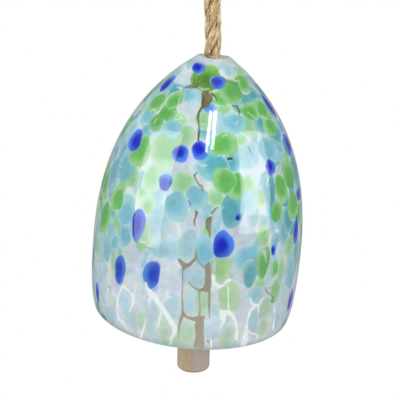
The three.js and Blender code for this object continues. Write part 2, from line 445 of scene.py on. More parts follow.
# groove is the colour of each cord's painted shade between its strands
JUTE = FibreFinish(
    "jute", shade=linear(90, 66, 34), body=linear(160, 134, 94), light=linear(208, 188, 150),
    groove=linear(54, 38, 16), relief=0.7 * MM)
TWINE = FibreFinish(
    "twine", shade=linear(84, 62, 36), body=linear(124, 96, 60), light=linear(158, 130, 92),
    groove=linear(52, 38, 20), relief=0.2 * MM)


@dataclass(frozen=True)
class WoodFinish:
    """Bare, slightly greyed wood with its grain along Z, and painted shade on its foot."""

    name: str = "wood"
    body: Colour = linear(156, 141, 130)
    warm: Colour = linear(160, 140, 115)
    dark: Colour = linear(104, 88, 74)
    # the colour of the painted shade on the foot's underside, with its darker end grain
    foot: Colour = linear(52, 42, 36)
    sway: float = 1.2 * MM  # how far the grain wanders sideways
    line_at: float = 0.9 * MM  # how far left of the middle the dark line runs
    line_half: float = 0.5 * MM
    relief: float = -0.1 * MM

    def material(self, axis: Vector) -> Material:
        """Make the material.

        Args:
            axis: the point on the dowel's middle line at its foot.

        Returns:
            The material.
        """
        material, board = Board.for_material(self.name)
        place = board.add("ShaderNodeTexCoord").outputs["Object"]
        centred = board.stretch(place, (1, 1, 1), tuple(-axis))
        streaks = board.noise(board.stretch(centred, (800, 800, 16)), 1.0, 3, 0.6)
        pores = board.noise(board.stretch(centred, (1500, 1500, 260)), 1.0, 2)
        drift = board.noise(board.stretch(centred, (0, 0, 26)), 1.0, 1)
        aside = board.sum("MULTIPLY", board.sum("SUBTRACT", drift, 0.5), self.sway)
        spot = board.apart(centred)
        across = board.sum("ADD", spot["X"], aside)
        off_line = board.sum("ABSOLUTE", board.sum("ADD", across, self.line_at), 0.0)
        tone = board.blend(board.between(across, 0.2 * MM, -1.6 * MM), opaque(self.body), opaque(self.warm))
        for share, colour in (
            (board.between(off_line, self.line_half, 0.0, 0.4), self.dark),
            (board.between(streaks, 0.5, 0.75, 0.4), self.dark),
            (board.between(pores, 0.58, 0.74, 0.4), self.dark),
            # painted shade: darker over the lowest 1.5 mm, towards the underside
            (board.between(spot["Z"], 1.5 * MM, 0.8 * MM, 0.85), self.foot),
        ):
            tone = board.blend(share, tone, opaque(colour))
        board.finish(board.shader("BsdfPrincipled", {
            "Base Color": tone,
            "Normal": board.bump(board.sum("ADD", streaks, pores), self.relief),
            "Roughness": 0.75,
            "Specular IOR Level": 0.25,
        }))
        return material


@dataclass(frozen=True)
class ClearGlass:
    """Clear, glossy blown glass that lets the lamps through to what is inside it."""

    name: str = "clear_glass"
    tint: Colour = (0.955, 0.985, 0.99)
    index: float = 1.5
    roughness: float = 0.012
    ripple: float = 0.05 * MM
    ripple_scale: float = 38

    def material(self) -> Material:
        """Make the material.

        Returns:
            The material.
        """
        material, board = Board.for_material(self.name)
        place = board.add("ShaderNodeTexCoord").outputs["Object"]
        glass = board.shader("BsdfPrincipled", {
            "Base Color": opaque(self.tint),
            "Normal": board.bump(board.noise(place, self.ripple_scale, 1), self.ripple),
            "Roughness": self.roughness,
            "IOR": self.index,
            "Transmission Weight": 1.0,
        })
        shadow = board.add("ShaderNodeLightPath").outputs["Is Shadow Ray"]
        board.finish(board.mix(shadow, glass, board.shader("BsdfTransparent")))
        return material


@dataclass(frozen=True)
class ColourLayerFinish:
    """The layer of colour chips: matt to the lamps and lit through from behind, with clear veins."""

    name: str = "colour_chips"
    see_through: float = 0.5
    cloud_scale: float = 210
    cloud: float = 0.16  # how much brighter the clouds are than the rest
    dimmest: float = 0.9

    def material(self) -> Material:
        """Make the material.

        Returns:
            The material, which reads the layer's attributes "chip_colour" and "chip_cover".
        """
        material, board = Board.for_material(self.name)
        chip = board.add("ShaderNodeAttribute", attribute_name="chip_colour").outputs["Color"]
        cover = board.add("ShaderNodeAttribute", attribute_name="chip_cover").outputs["Fac"]
        place = board.add("ShaderNodeTexCoord").outputs["Object"]
        cloud = board.between(board.noise(place, self.cloud_scale, 3, 0.6), 0.25, 0.75, self.cloud)
        colour = board.blend(1.0, chip, board.sum("ADD", cloud, self.dimmest), "MULTIPLY")
        matt = board.shader("BsdfPrincipled", {
            "Base Color": colour,
            "Roughness": 0.5,
            "Specular IOR Level": 0.05,
        })
        glow = board.shader("BsdfTranslucent", {"Color": colour})
        both = board.mix(self.see_through, matt, glow)
        board.finish(board.mix(cover, board.shader("BsdfTransparent"), both))
        return material


@dataclass(frozen=True)
class ChipGlass:
    """How one kind of colour chip looks in the glass."""

    middle: Colour
    edge: Colour
    softness: float  # half width of its blurred edge, as a share of its size
    core: float = 0.5  # how far its full colour reaches, as a share of its size
    strength: float = 1.0
    on_top: bool = True
    lasting: bool = False  # whether it keeps its colour near the rim, and its laid size


class Tint(Enum):
    """The kinds of colour chip."""

    COBALT = ChipGlass(linear(26, 34, 200), linear(82, 142, 246), 0.08, 0.2, lasting=True)
    AZURE = ChipGlass(linear(44, 78, 210), linear(98, 152, 244), 0.08, 0.2, lasting=True)
    SKY = ChipGlass(linear(84, 138, 238), linear(160, 198, 244), 0.1, 0.3, 0.92, lasting=True)
    # a green made darker by painted shade, for the chip where the knot behind keeps the light from shining
    # through
    KNOT_SHADED_GREEN = ChipGlass(linear(74, 134, 34), linear(136, 196, 84), 0.06, 0.1)
    DEEP = ChipGlass(linear(18, 74, 104), linear(36, 104, 132), 0.1, 0.6)
    GREEN = ChipGlass(linear(118, 197, 102), linear(168, 219, 152), 0.08, 0.3)
    MARINE = ChipGlass(linear(84, 150, 172), linear(136, 188, 202), 0.1, 0.3, 0.9, lasting=True)
    OLIVE = ChipGlass(linear(168, 212, 142), linear(200, 227, 182), 0.09, 0.25, 0.95)
    TEAL = ChipGlass(linear(104, 184, 198), linear(156, 212, 220), 0.08, 0.3)
    AQUA = ChipGlass(linear(134, 200, 218), linear(180, 222, 232), 0.09, 0.25, 0.95)
    PALE_GREEN = ChipGlass(linear(168, 220, 158), linear(208, 235, 200), 0.09, 0.25, 0.95)
    PALE_AQUA = ChipGlass(linear(176, 217, 229), linear(212, 232, 238), 0.09, 0.25, 0.92)
    LILAC = ChipGlass(linear(222, 227, 237), linear(231, 236, 243), 0.1, 0.4, 0.85)
    MILK = ChipGlass(linear(235, 239, 243), linear(239, 243, 246), 0.2, 0.3, on_top=False)


# The chips that face the front, listed one by one: azimuth in degrees from the front, positive to the right,
# height above the rim, width and height of the chip in millimetres. The first lie nearest to the surface.
FRONT_CHIPS: dict[Tint, tuple[ChipRow, ...]] = {
    Tint.COBALT: (
        (-38, 156, 8.5, 8), (9.5, 150.8, 8.5, 9), (-74, 144, 8, 13), (82, 134, 8, 16), (-60, 113, 11.5, 15),
        (-18.5, 114.5, 9, 10.5), (-5, 117.7, 9.5, 11.5), (47.5, 107.3, 8.5, 9), (79, 113, 11, 15),
        (77, 84.5, 9, 9), (-36.5, 70.5, 9.5, 19), (13, 67, 12, 17.5), (21, 82.5, 4, 4), (68.5, 65, 7.5, 18),
        (45, 60, 3.5, 7), (-68.5, 15, 6, 13), (70, 20, 8, 14),
    ),
    Tint.AZURE: ((-45.5, 40, 9.5, 18), (-24.5, 43.5, 11, 17), (-24.5, 98, 8.5, 9.5)),
    Tint.SKY: ((-1, 138.3, 7.5, 6.5), (-24, 36.8, 8, 8)),
    Tint.MARINE: (
        (-80, 31, 8, 18), (-82, 6, 8, 16), (-70, 4, 7, 9), (-62, 1.5, 9, 6), (84, 36, 8, 18),
        (80, 8, 8, 14), (74, 1.5, 8, 7), (84, 56, 7, 16),
    ),
    # painted shade: the crown's green chip in front of the knot
    Tint.KNOT_SHADED_GREEN: ((-13, 152, 13, 13.5),),
    Tint.DEEP: ((16, 114.2, 3, 1.6),),
    Tint.GREEN: (
        (27, 146.5, 11.5, 11.5), (13, 144, 8, 7.5), (56, 149, 9, 9), (-42, 139, 8, 9), (-42, 132.5, 9.5, 8),
        (-48, 126, 8, 8), (-62, 134, 9, 10), (44, 136.5, 10, 8), (60, 136, 9, 9), (62, 127.5, 9, 11),
        (-50, 109, 11.5, 15), (12.5, 121.5, 11.5, 10.5), (12, 103, 10.5, 11.5), (66, 99.5, 12, 14),
        (54.5, 93.5, 9, 14), (-57, 79.5, 9.5, 14), (66, 80.5, 12, 14), (-66, 63.5, 11, 18),
        (38, 53.5, 9, 17), (50, 33.5, 7.5, 16), (48, 82, 8, 10), (20, 99.5, 8, 12),
    ),
    Tint.OLIVE: (
        (-28.5, 13.5, 7, 13), (-14.5, 8.5, 6.5, 16), (-8.5, 5, 5.5, 10), (19, 34.5, 11.5, 20),
        (13, 51.5, 11.5, 17), (43.5, 11.5, 7.5, 12), (43.5, 22.5, 9, 13),
    ),
    Tint.TEAL: (
        (43, 142, 8, 7), (60, 143.5, 9, 8), (52, 130, 9, 9), (64, 122.5, 10, 9), (4.5, 110, 13, 13),
        (17.5, 112.5, 7, 10), (43, 96.5, 8.5, 17), (44, 84, 7, 12), (17.5, 87, 11.5, 17), (58, 74.5, 9, 13),
        (30, 48.5, 9, 15), (80, 97, 12, 18), (-76, 14, 6, 16), (68, 3, 8, 10),
    ),
    Tint.AQUA: (
        (-28, 143, 9, 7.5), (-63, 126.5, 9, 10), (-31, 126, 9, 8), (22, 131, 11, 10), (50, 115.5, 12, 13),
        (-58, 99, 13, 15), (-68, 90, 13, 16), (-66, 103, 9, 10), (-15, 86.5, 11.5, 14), (-4, 92.5, 11, 11),
        (-47, 75.5, 12, 17), (-45, 61.5, 9, 13), (3, 62.5, 11, 17), (27, 57, 14, 15), (54, 68, 9, 13),
        (64, 41, 11, 22), (-59, 48.5, 10, 15), (-53, 7, 10, 11), (55.5, 12.5, 8, 15), (34.5, 34, 9, 10),
        (36.5, 16.5, 8, 16),
    ),
    Tint.PALE_GREEN: (
        (-30, 131, 8, 7), (-18, 124, 9, 9.5), (-5, 133, 8, 9), (66, 153, 7, 5), (14, 139, 7, 5),
        (36, 130, 11, 10), (24.5, 123.5, 7, 6), (-31, 113, 15, 15), (-34, 98, 9, 13), (-33, 84, 7, 9),
        (-48, 94.5, 8.5, 9.5), (-13.5, 98.5, 11.5, 11), (6.5, 93.5, 9, 8), (-31.5, 64.5, 9, 15),
        (-49, 64, 6, 9), (37.5, 70.5, 7.5, 11), (60, 56.5, 9, 14), (-50.5, 41.5, 6.5, 15),
        (-2.5, 10, 11, 18), (5, 31, 9, 17), (20.5, 8, 7.5, 15), (36, 41, 8, 9), (53, 47, 6, 14),
        (3, 73.5, 6, 8), (-65, 8, 8, 10),
    ),
    Tint.PALE_AQUA: (
        (15, 136, 8, 8), (-33, 121, 18, 9), (-29, 91, 10, 14), (-27, 83, 12, 9), (-4, 109, 9, 6),
        (27, 114.5, 15, 15), (-24.5, 74, 13, 20), (-22, 61, 14, 10), (-6.5, 64, 10, 19), (25, 89.5, 13, 12),
        (-40.5, 21, 8.5, 20), (-24, 23, 9, 16), (-2.5, 31, 10, 18), (-11.5, 24, 13, 18),
        (10.5, 13.5, 11, 15), (0.5, 46.5, 10.5, 16),
    ),
    Tint.LILAC: (
        (-45, 151, 8, 9), (-22, 137.5, 10, 9), (50, 123, 9, 9), (54, 102, 9, 8), (-5, 77, 11, 16),
        (-37, 51.5, 13, 14), (24.5, 70.5, 14, 12), (52, 57, 9, 14), (-35, 33, 9, 17), (26, 29, 8, 22),
        (12.5, 36, 6, 12), (-14.5, 41, 12, 15), (-15, 106, 12, 9),
    ),
    Tint.MILK: (
        (32, 153, 11, 10), (-17, 132, 8, 6), (22, 137, 9, 10), (37, 111, 8, 12), (-2.5, 101.5, 11, 10),
        (-15.5, 72.5, 9, 14), (-14, 53, 11, 15),
    ),
}

# The veins of clear glass between the chips that face the front, listed one by one: azimuth in degrees from
# the front, height above the rim and width in millimetres.
FRONT_VEINS: tuple[Stroke, ...] = (
    # The ring round the long pale chip at the lower left
    ((-42, 31, 1.2), (-44.5, 26, 0.8), (-46, 20.5, 1.2), (-46.5, 10.5, 1.4), (-45, 7.5, 1.8), (-42, 7, 2.4),
     (-39.5, 3, 0.6)),
    ((-42, 31, 1.6), (-39, 29.5, 1), (-36, 28, 1.4), (-34.5, 25, 2.2), (-35.5, 20, 1.2),
     (-37.5, 15.5, 0.5)),
    ((-33.5, 36, 0.4), (-33.5, 32.5, 0.7), (-34.5, 27, 1.6)),
    ((-53.5, 22, 0.9), (-54.5, 17, 0.7), (-56, 13, 0.3)),
    ((-51, 24, 0.6), (-47.5, 21.5, 0.8), (-46, 20, 1)),
    # The broad vein down to the dowel, with its branches
    ((-27.5, 38, 0.8), (-26.5, 34.5, 2), (-24, 32, 4), (-21, 30, 4), (-19, 27, 3.2), (-14, 20.5, 3),
     (-11.5, 17, 3.2), (-9.5, 13.5, 3.4), (-9, 10, 2.4), (-11, 5, 1.4), (-11, 0.5, 0.6)),
    ((-24, 29.5, 2.4), (-25, 26.5, 1.2), (-25, 24, 0.5)),
    ((-17.5, 21, 1.4), (-18, 16, 0.9), (-19, 10.5, 0.4)),
    ((-15.5, 36, 0.4), (-14.5, 32.5, 1.2), (-12, 32, 0.5)),
    ((-17, 28, 0.5), (-14.5, 32, 1)),
    ((-26.5, 15, 0.5), (-26.5, 11, 0.9), (-28, 6.5, 1.4), (-29.5, 1.5, 2)),
    # The veins at the lower right
    ((19, 53, 0.5), (19, 49.5, 2.4), (18.5, 46.5, 3.1), (16, 44, 1.8), (14.5, 42.5, 0.6), (12, 40.5, 1)),
    ((17.5, 42, 0.7), (18.5, 33, 0.6), (19, 27.5, 1)),
    ((15.5, 25, 3), (16.5, 22.5, 4.4), (17, 19, 2.4), (16, 14.5, 0.6)),
    ((15, 25.5, 2.4), (19.5, 25, 3), (23.5, 20, 2), (25, 16, 1.6), (26, 11.5, 1.8), (26.5, 6.5, 2.6)),
    # The white edge beside the dowel, round the green chip
    ((8.5, 60, 0.5), (9, 54, 1.8), (9, 48, 1.8), (10, 43.5, 2), (13, 41.5, 1.6), (16, 42, 0.6)),
    ((31, 33.5, 0.5), (32.5, 29.5, 1.4), (34.5, 27, 2.8), (37.5, 26.5, 1.6), (39, 29, 0.8),
     (41.5, 31, 0.7)),
    ((34, 26, 2.6), (32.5, 24.5, 1.7), (31.5, 17.5, 1.2), (31.5, 14, 2.3), (32, 9.5, 3.8), (32.5, 4.5, 4.8),
     (32.5, 1, 3.8)),
    ((37.5, 25.5, 1.1), (38, 23, 0.6), (38.5, 19.5, 0.3)),
    ((33.5, 11, 0.9), (37, 7.5, 1.2), (40, 7, 1), (42, 1, 0.7)),
    ((51, 22, 1.8), (52, 18, 0.9), (53, 13, 1), (53.5, 8.5, 2.2), (56.5, 4, 1.4)),
    ((52.5, 7.5, 0.8), (49.5, 7, 0.5)),
    ((41.5, 36.5, 1), (44, 31.5, 1), (47.5, 29.5, 0.7)),
    ((37, 60.5, 1), (39, 57.5, 0.9), (40, 54, 0.5)),
)

# The gaps through which the knot, the twine and the dowel show, laid in the same way.
FRONT_GAPS: tuple[Stroke, ...] = (
    # The gaps between the chips in front of the dowel
    ((-10, 56, 1.6), (-7, 53, 3.4), (-4.5, 53.5, 2), (-1.5, 58, 1.5), (-1, 61.5, 0.7), (-1.5, 63, 0.3)),
    ((-7, 52, 2.8), (-7.6, 49.5, 0.8), (-7.2, 44, 0.5), (-6.8, 38, 0.5), (-6.8, 34, 0.6)),
    ((-1, 59, 0.6), (1.5, 55, 0.6), (4, 52.5, 1), (5.5, 53, 3.2), (6, 56, 0.9)),
    ((5.5, 53.5, 3.2), (6, 48.5, 3.2), (6.5, 43, 3.8), (6, 40, 4.4)),
    ((-4, 43.5, 0.4), (-2, 41, 0.6), (0.5, 39.5, 0.9), (3, 39, 1.6), (5.5, 40, 2.4)),
    ((7, 43.5, 1.4), (7.6, 39, 1.3), (7.7, 34.5, 1.1), (8.1, 29.5, 1.1), (8.6, 25, 0.9), (9, 21.5, 0.5)),
    ((2, 39, 1.2), (2.5, 35, 0.6), (3, 30.5, 0.5), (3.5, 26, 0.9), (3.5, 21.5, 1.2)),
    ((-6.8, 34.5, 0.6), (-6.2, 30.5, 0.8), (-5.8, 26, 1), (-5.4, 23, 1.9), (-3, 21, 1.2), (0, 20.3, 1.9),
     (2.5, 20.5, 3.8), (5.5, 21.5, 2)),
    ((4, 20.5, 4), (4, 16.5, 5), (4.5, 11.5, 4.4), (5, 6.5, 5), (5, 2.5, 6)),
    ((-5.4, 22.5, 1.9), (-6.4, 19, 1.9), (-7, 14, 0.9), (-6.8, 6, 0.3)),
    ((9.5, 6, 0.9), (11.5, 4.5, 1.8), (12, 1.5, 1.2)),
    ((11, 8.5, 0.4), (11.5, 4.5, 1.6)),
    # The gaps below the crown, where the knot shows, and the crack that runs down from them
    ((-38.5, 146, 0.7), (-32.5, 147, 2), (-26.5, 148, 3.8), (-21.5, 148.5, 2.4)),
    ((-8, 145, 4.4), (-5, 143, 6), (-6.5, 140.5, 4.6), (-9.5, 138.5, 1.3), (-11.5, 136, 1.1),
     (-11, 133.5, 1.2), (-9.5, 131, 0.6), (-8, 128, 0.5), (-8, 126, 1.2), (-7.5, 122.5, 0.9)),
    ((0, 145.5, 1.6), (4, 144.5, 1.1), (7, 142.5, 0.5)),
    ((-37.5, 153, 0.4), (-32.5, 150.5, 0.5), (-28.5, 148.5, 1)),
    ((17, 153.5, 0.4), (24.5, 151.5, 0.7), (38, 150.5, 0.9), (40, 149.5, 1.4)),
    # The short cracks over the middle
    ((-5.5, 106, 0.6), (-7, 104.5, 0.8), (-5.5, 102, 0.6), (-3.5, 100, 0.6), (-1.5, 99, 1.1), (-1, 97, 1)),
    ((-4, 85.5, 0.5), (-3, 84.5, 1.5), (-3.5, 82, 0.9), (-4, 79.5, 1), (-3.5, 77, 0.5)),
    ((5, 82.5, 1.1), (4, 80.5, 3.4), (4, 77, 3.2), (5, 74, 1.1), (5.5, 71, 0.5)),
    ((-8.5, 90.5, 0.5), (-7.5, 89.5, 0.6), (-7, 88, 0.5)),
    ((5.5, 85, 1.5), (7, 87, 1.1), (8.5, 88.5, 0.4)),
    ((24, 140.5, 0.5), (29, 139.5, 1.4), (30.5, 137.5, 1.6), (30, 136, 0.6)),
)

# The dark cracks in the glass, laid in the same way.
FRONT_CRACKS: tuple[Stroke, ...] = (
    ((40.5, 37.5, 0.4), (43, 34, 0.9), (46.5, 31, 0.5), (48.5, 29, 0.9), (49.5, 25.5, 0.5),
     (47, 27.5, 0.7)),
    ((43.5, 36, 0.4), (46, 36.5, 0.6)),
    ((-55, 25, 0.4), (-52.5, 25.5, 0.8), (-52.5, 22.5, 0.4)),
    ((31, 120, 0.4), (32.5, 118, 0.7), (33, 115.5, 0.4)),
)

# The glints of cracks and bubbles in the glass, painted highlights that are laid in the same way.
FRONT_GLINTS: tuple[Stroke, ...] = (
    ((-50, 127.5, 1.2), (-50, 125, 0.8)),
    ((-43, 129, 0.5), (-39, 127.5, 1)),
    ((-43, 134.5, 0.5), (-36.5, 136.5, 1), (-35, 137.5, 1.4), (-38, 141, 0.5)),
    ((-36, 137, 1.2), (-32.5, 136, 0.6)),
    ((-28.5, 133, 0.6), (-26.5, 132, 1.2), (-24, 131.5, 0.5)),
    ((-26.5, 132, 1), (-29.5, 130.5, 0.8), (-33, 129, 0.4)),
    ((-51, 145, 1.6), (-43.5, 145, 2.6), (-42, 143.5, 1.2)),
    ((-54, 133.5, 0.5), (-53, 137, 0.9), (-52, 141, 0.8), (-45, 143.5, 0.6)),
    ((-63.5, 146.5, 1), (-64, 148, 1.8), (-62, 149.5, 1)),
    ((-62.5, 130, 1), (-57.5, 131.5, 1.6), (-56, 130, 0.6)),
    ((-78, 124, 0.8), (-66, 121, 0.8), (-56.5, 123.5, 0.5)),
    ((-65.5, 96.5, 0.6), (-61.5, 96.5, 0.9)),
    ((-5.5, 111, 0.6), (-3, 110, 1.8), (0.5, 110.5, 0.8)),
    ((56.5, 121.5, 0.5), (63.5, 117.5, 0.9), (69, 112, 1), (74.5, 106, 0.5)),
    ((40, 136.5, 0.6), (44, 134.5, 1.1), (47.5, 132, 0.7)),
    ((55.5, 133, 0.6), (61, 131, 0.9), (72.5, 128, 0.8), (77, 123.5, 0.5)),
    ((27, 133, 0.7), (24, 131.5, 1.1)),
    ((11, 125.5, 0.8), (13, 126, 1.2), (15.5, 126.5, 0.5)),
    ((38, 151, 0.6), (49, 151, 1.1), (47.5, 149, 0.6)),
    ((43.5, 146.5, 0.6), (48.5, 144.5, 1.3), (65, 145, 0.8)),
    ((-7, 130.5, 0.7), (-3, 131.5, 0.8)),
    ((-19.5, 147.5, 0.8), (-13, 147, 1.4), (-5, 147.5, 0.8)),
    ((0, 144, 0.6), (3.5, 143.5, 1.2), (7, 142.5, 0.6)),
    ((-57, 85.5, 1.2), (-56, 86.5, 0.8)),
    ((-48, 67, 0.6), (-45.5, 67, 1), (-42, 69.5, 0.5)),
    ((-53.5, 62, 0.8), (-51.5, 59, 1.5), (-48.5, 58.5, 0.6)),
    ((-49.5, 55.5, 0.6), (-47, 53.5, 1), (-43.5, 52, 0.6)),
    ((-34, 61.5, 0.8), (-30.5, 62, 1.3)),
    ((-29, 58, 1.4), (-28.5, 57, 1.2)),
    ((-63.5, 89, 0.9), (-60.5, 89.5, 0.7)),
    ((5, 84, 2), (6, 86.5, 3.2), (8, 88.5, 1.6)),
    ((11, 87.5, 1.2), (12, 88.5, 0.8)),
    ((42, 103, 0.8), (44, 101.5, 1.4), (42, 99.5, 1.2), (42, 97.5, 0.8)),
    ((45.5, 74.5, 1.4), (48, 73.5, 1.4)),
    ((36.5, 61.5, 0.8), (38.5, 61, 1.4), (39.5, 57.5, 1), (40, 53.5, 0.7)),
    ((28.5, 55, 0.6), (29.5, 56.5, 1.1), (31.5, 56, 0.6)),
    ((41.5, 76.5, 0.5), (43.5, 71, 0.9), (45.5, 67, 0.5)),
    ((51.5, 63, 1.2), (52, 62.5, 1.2)),
)


@dataclass
class Chip:
    """One colour chip on the unrolled wall: azimuth and lean in radians, run and size in metres."""

    azimuth: float
    run: float
    half_wide: float
    half_tall: float
    glass: ChipGlass
    lean: float
    phases: tuple[float, float, float]
    taper: float


@dataclass
class GlassBell:
    """The blown shell: a clear casing, and the layer of colour chips inside its wall."""

    crest: Vector
    axis: Vector
    height: float = 160.5 * MM
    radius: float = 62.6 * MM
    widest_height: float = 42 * MM
    rim_radius: float = 59.3 * MM
    rim_drop: float = 0.5 * MM  # how far the rim hangs below height 0
    wall: float = 4 * MM
    dome_rise: float = 61 * MM
    crown_reach: float = 39 * MM
    crown_slope: float = math.radians(39)
    foot_fall: float = 17.5 * MM
    rim_reach: float = 10.5 * MM
    rim_tuck: float = math.radians(16)
    crest_radius: float = 8.4 * MM
    foot_points: int = 22
    dome_points: int = 76
    edge_points: int = 9
    turn_steps: int = 180
    weld: float = 1e-6
    lip_dip: float = 1.7 * MM
    lip_rise: float = 0.5  # how much of the dip the front rises by
    lip_edge: float = 1 * MM  # the dip is full down to this far below the crest
    lip_end: float = 9 * MM  # and gone this far below it
    layer_depth: float = 1.5 * MM
    layer_columns: int = 1200
    layer_rows: int = 300
    fine_share: float = 0.58  # share of the rows that lie below fine_run
    fine_run: float = 85 * MM
    rim_over: float = 1.8 * MM
    lip_over: float = 0.6 * MM
    seed: int = 11
    middle: Array = field(init=False)
    outward: Array = field(init=False)
    run: Array = field(init=False)

    def __post_init__(self) -> None:
        """Work out the middle line of the wall, from the rim up to the crown hole."""
        half = self.wall / 2
        rim = np.array((self.rim_radius - half, half - self.rim_drop))
        widest = np.array((self.radius - half, self.widest_height))
        crest = np.array((self.crest_radius, self.height - half))
        tuck = np.array((math.sin(self.rim_tuck), math.cos(self.rim_tuck)))
        slope = np.array((math.cos(self.crown_slope), -math.sin(self.crown_slope)))
        below = widest - (0, self.foot_fall)
        above = widest + (0, self.dome_rise)
        foot = bezier((rim, rim + tuck * self.rim_reach, below, widest), self.foot_points)
        dome = bezier((widest, above, crest + slope * self.crown_reach, crest), self.dome_points)
        self.middle = np.vstack([foot[:-1], dome])
        along = np.gradient(self.middle, axis=0)
        along[0] = tuck
        along[-1] = -slope
        along = unit(along)
        self.outward = np.column_stack([along[:, 1], -along[:, 0]])
        self.run = run_of(self.middle)

    @property
    def place(self) -> Matrix:
        """The bell's own frame, in which its crest is at its height."""
        lean = Vector((0, 0, 1)).rotation_difference(self.axis).to_matrix().to_4x4()
        return Matrix.Translation(self.crest) @ lean @ Matrix.Translation((0, 0, -self.height))

    def section(self) -> Array:
        """Draw the closed outline of the wall, with full-round edges.

        Returns:
            Points of (radius, height), one in each row.
        """
        half = self.wall / 2
        outside = self.middle + self.outward * half
        inside = self.middle - self.outward * half
        turns = np.linspace(0, math.pi, self.edge_points)[1:-1, None]
        up = np.column_stack([-self.outward[:, 1], self.outward[:, 0]])
        crown, rim = (np.cos(turns) * self.outward[end] + np.sin(turns) * up[end] for end in (-1, 0))
        return np.vstack([outside, self.middle[-1] + half * crown, inside[::-1], self.middle[0] - half * rim])

    def build_casing(self) -> Piece:
        """Spin the wall's outline into the clear shell.

        Returns:
            The shell, in its place.
        """
        outline = self.section()
        Bench.clear()
        bpy.ops.mesh.primitive_circle_add(vertices=len(outline), radius=self.radius, fill_type="NOTHING")
        piece = Bench.take("glass_casing")
        for corner, (radius, height) in zip(piece.data.vertices, outline):
            corner.co = (radius, 0, height)
        bpy.ops.object.mode_set(mode="EDIT")
        bpy.ops.mesh.select_all(action="SELECT")
        bpy.ops.mesh.spin(steps=self.turn_steps, angle=2 * math.pi, center=(0, 0, 0), axis=(0, 0, 1))
        bpy.ops.mesh.select_all(action="SELECT")
        bpy.ops.mesh.remove_doubles(threshold=self.weld)
        bpy.ops.mesh.normals_make_consistent(inside=False)
        bpy.ops.object.mode_set(mode="OBJECT")
        bpy.ops.object.shade_smooth()
        spun = np.array([corner.co for corner in piece.data.vertices])
        piece.data.vertices.foreach_set("co", self.uneven_lip(spun).ravel())
        piece.data.transform(self.place)
        Bench.clear()
        return piece

    def run_at(self, height: float) -> float:
        """Find the run along the wall where its outside is at a height."""
        outside = self.middle[:, 1] + self.outward[:, 1] * self.wall / 2
        return float(np.interp(height, outside, self.run))

    def wall_at(self, run: Array, depth: float) -> tuple[Array, Array]:
        """Find places inside the wall.

        Args:
            run: the runs along the wall.
            depth: how deep below its outside.

        Returns:
            Their radii and their heights.
        """
        out = self.wall / 2 - depth
        line = self.middle + self.outward * out
        beyond = np.minimum(run, 0) + np.maximum(run - self.run[-1], 0)
        ends = np.where((run < 0)[:, None], self.outward[0], self.outward[-1])
        radius, height = (np.interp(run, self.run, line[:, axis]) for axis in (0, 1))
        return radius - beyond * ends[:, 1], height + beyond * ends[:, 0]

    def uneven_lip(self, corners: Array) -> Array:
        """Let the lip of the crown hole dip at the back and rise at the front, as blown glass does.

        Args:
            corners: corners in the bell's own frame.

        Returns:
            The new corners.
        """
        near_lip = fade(corners[:, 2], self.height - self.lip_edge, self.height - self.lip_end)
        side = corners[:, 1] / self.crest_radius
        dip = self.lip_dip * near_lip * np.where(side > 0, side, self.lip_rise * side)
        return corners - np.column_stack([np.zeros((len(corners), 2)), dip])

    def build_layer(self) -> list[Piece]:
        """Model the layer of colour chips as four quarters.

        Returns:
            The quarters, in their place.
        """
        painter = ChipPainter(self, np.random.default_rng(self.seed))
        colours, cover = painter.paint()
        colours = np.concatenate([colours, np.ones((*cover.shape, 1))], axis=-1)
        radius, height = self.wall_at(painter.run, self.layer_depth)
        quarter = self.layer_columns // 4
        first = self.layer_columns // 8
        quarters = []
        for side in ("left", "front", "right", "back"):
            columns = (first + np.arange(quarter + 1)) % self.layer_columns
            first += quarter
            azimuth = painter.azimuth[columns]
            x, y = np.outer(radius, np.sin(azimuth)), -np.outer(radius, np.cos(azimuth))
            z = np.repeat(height[:, None], quarter + 1, axis=1)
            corners = np.stack([x, y, z], axis=-1).reshape(-1, 3)
            number = np.arange(len(corners)).reshape(z.shape)
            piece = Bench.from_arrays(f"colour_layer_{side}", self.uneven_lip(corners),
                                      cells(number).reshape(-1, 4).tolist())
            Bench.store(piece, "chip_colour", colours[:, columns].reshape(-1, 4))
            Bench.store(piece, "chip_cover", cover[:, columns].ravel())
            piece.data.transform(self.place)
            quarters.append(piece)
        LOG.info("painted %d glass chips", len(painter.chips))
        return quarters

    def build(self) -> list[Piece]:
        """Model the bell, dress it and join it to the frame.

        Returns:
            Its pieces.
        """
        casing = self.build_casing()
        casing.data.materials.append(ClearGlass().material())
        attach(casing, "bell")
        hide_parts("glass_bell")
        finish = ColourLayerFinish().material()
        quarters = self.build_layer()
        for quarter in quarters:
            quarter.data.materials.append(finish)
            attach(quarter, "bell")
        return [casing, *quarters]


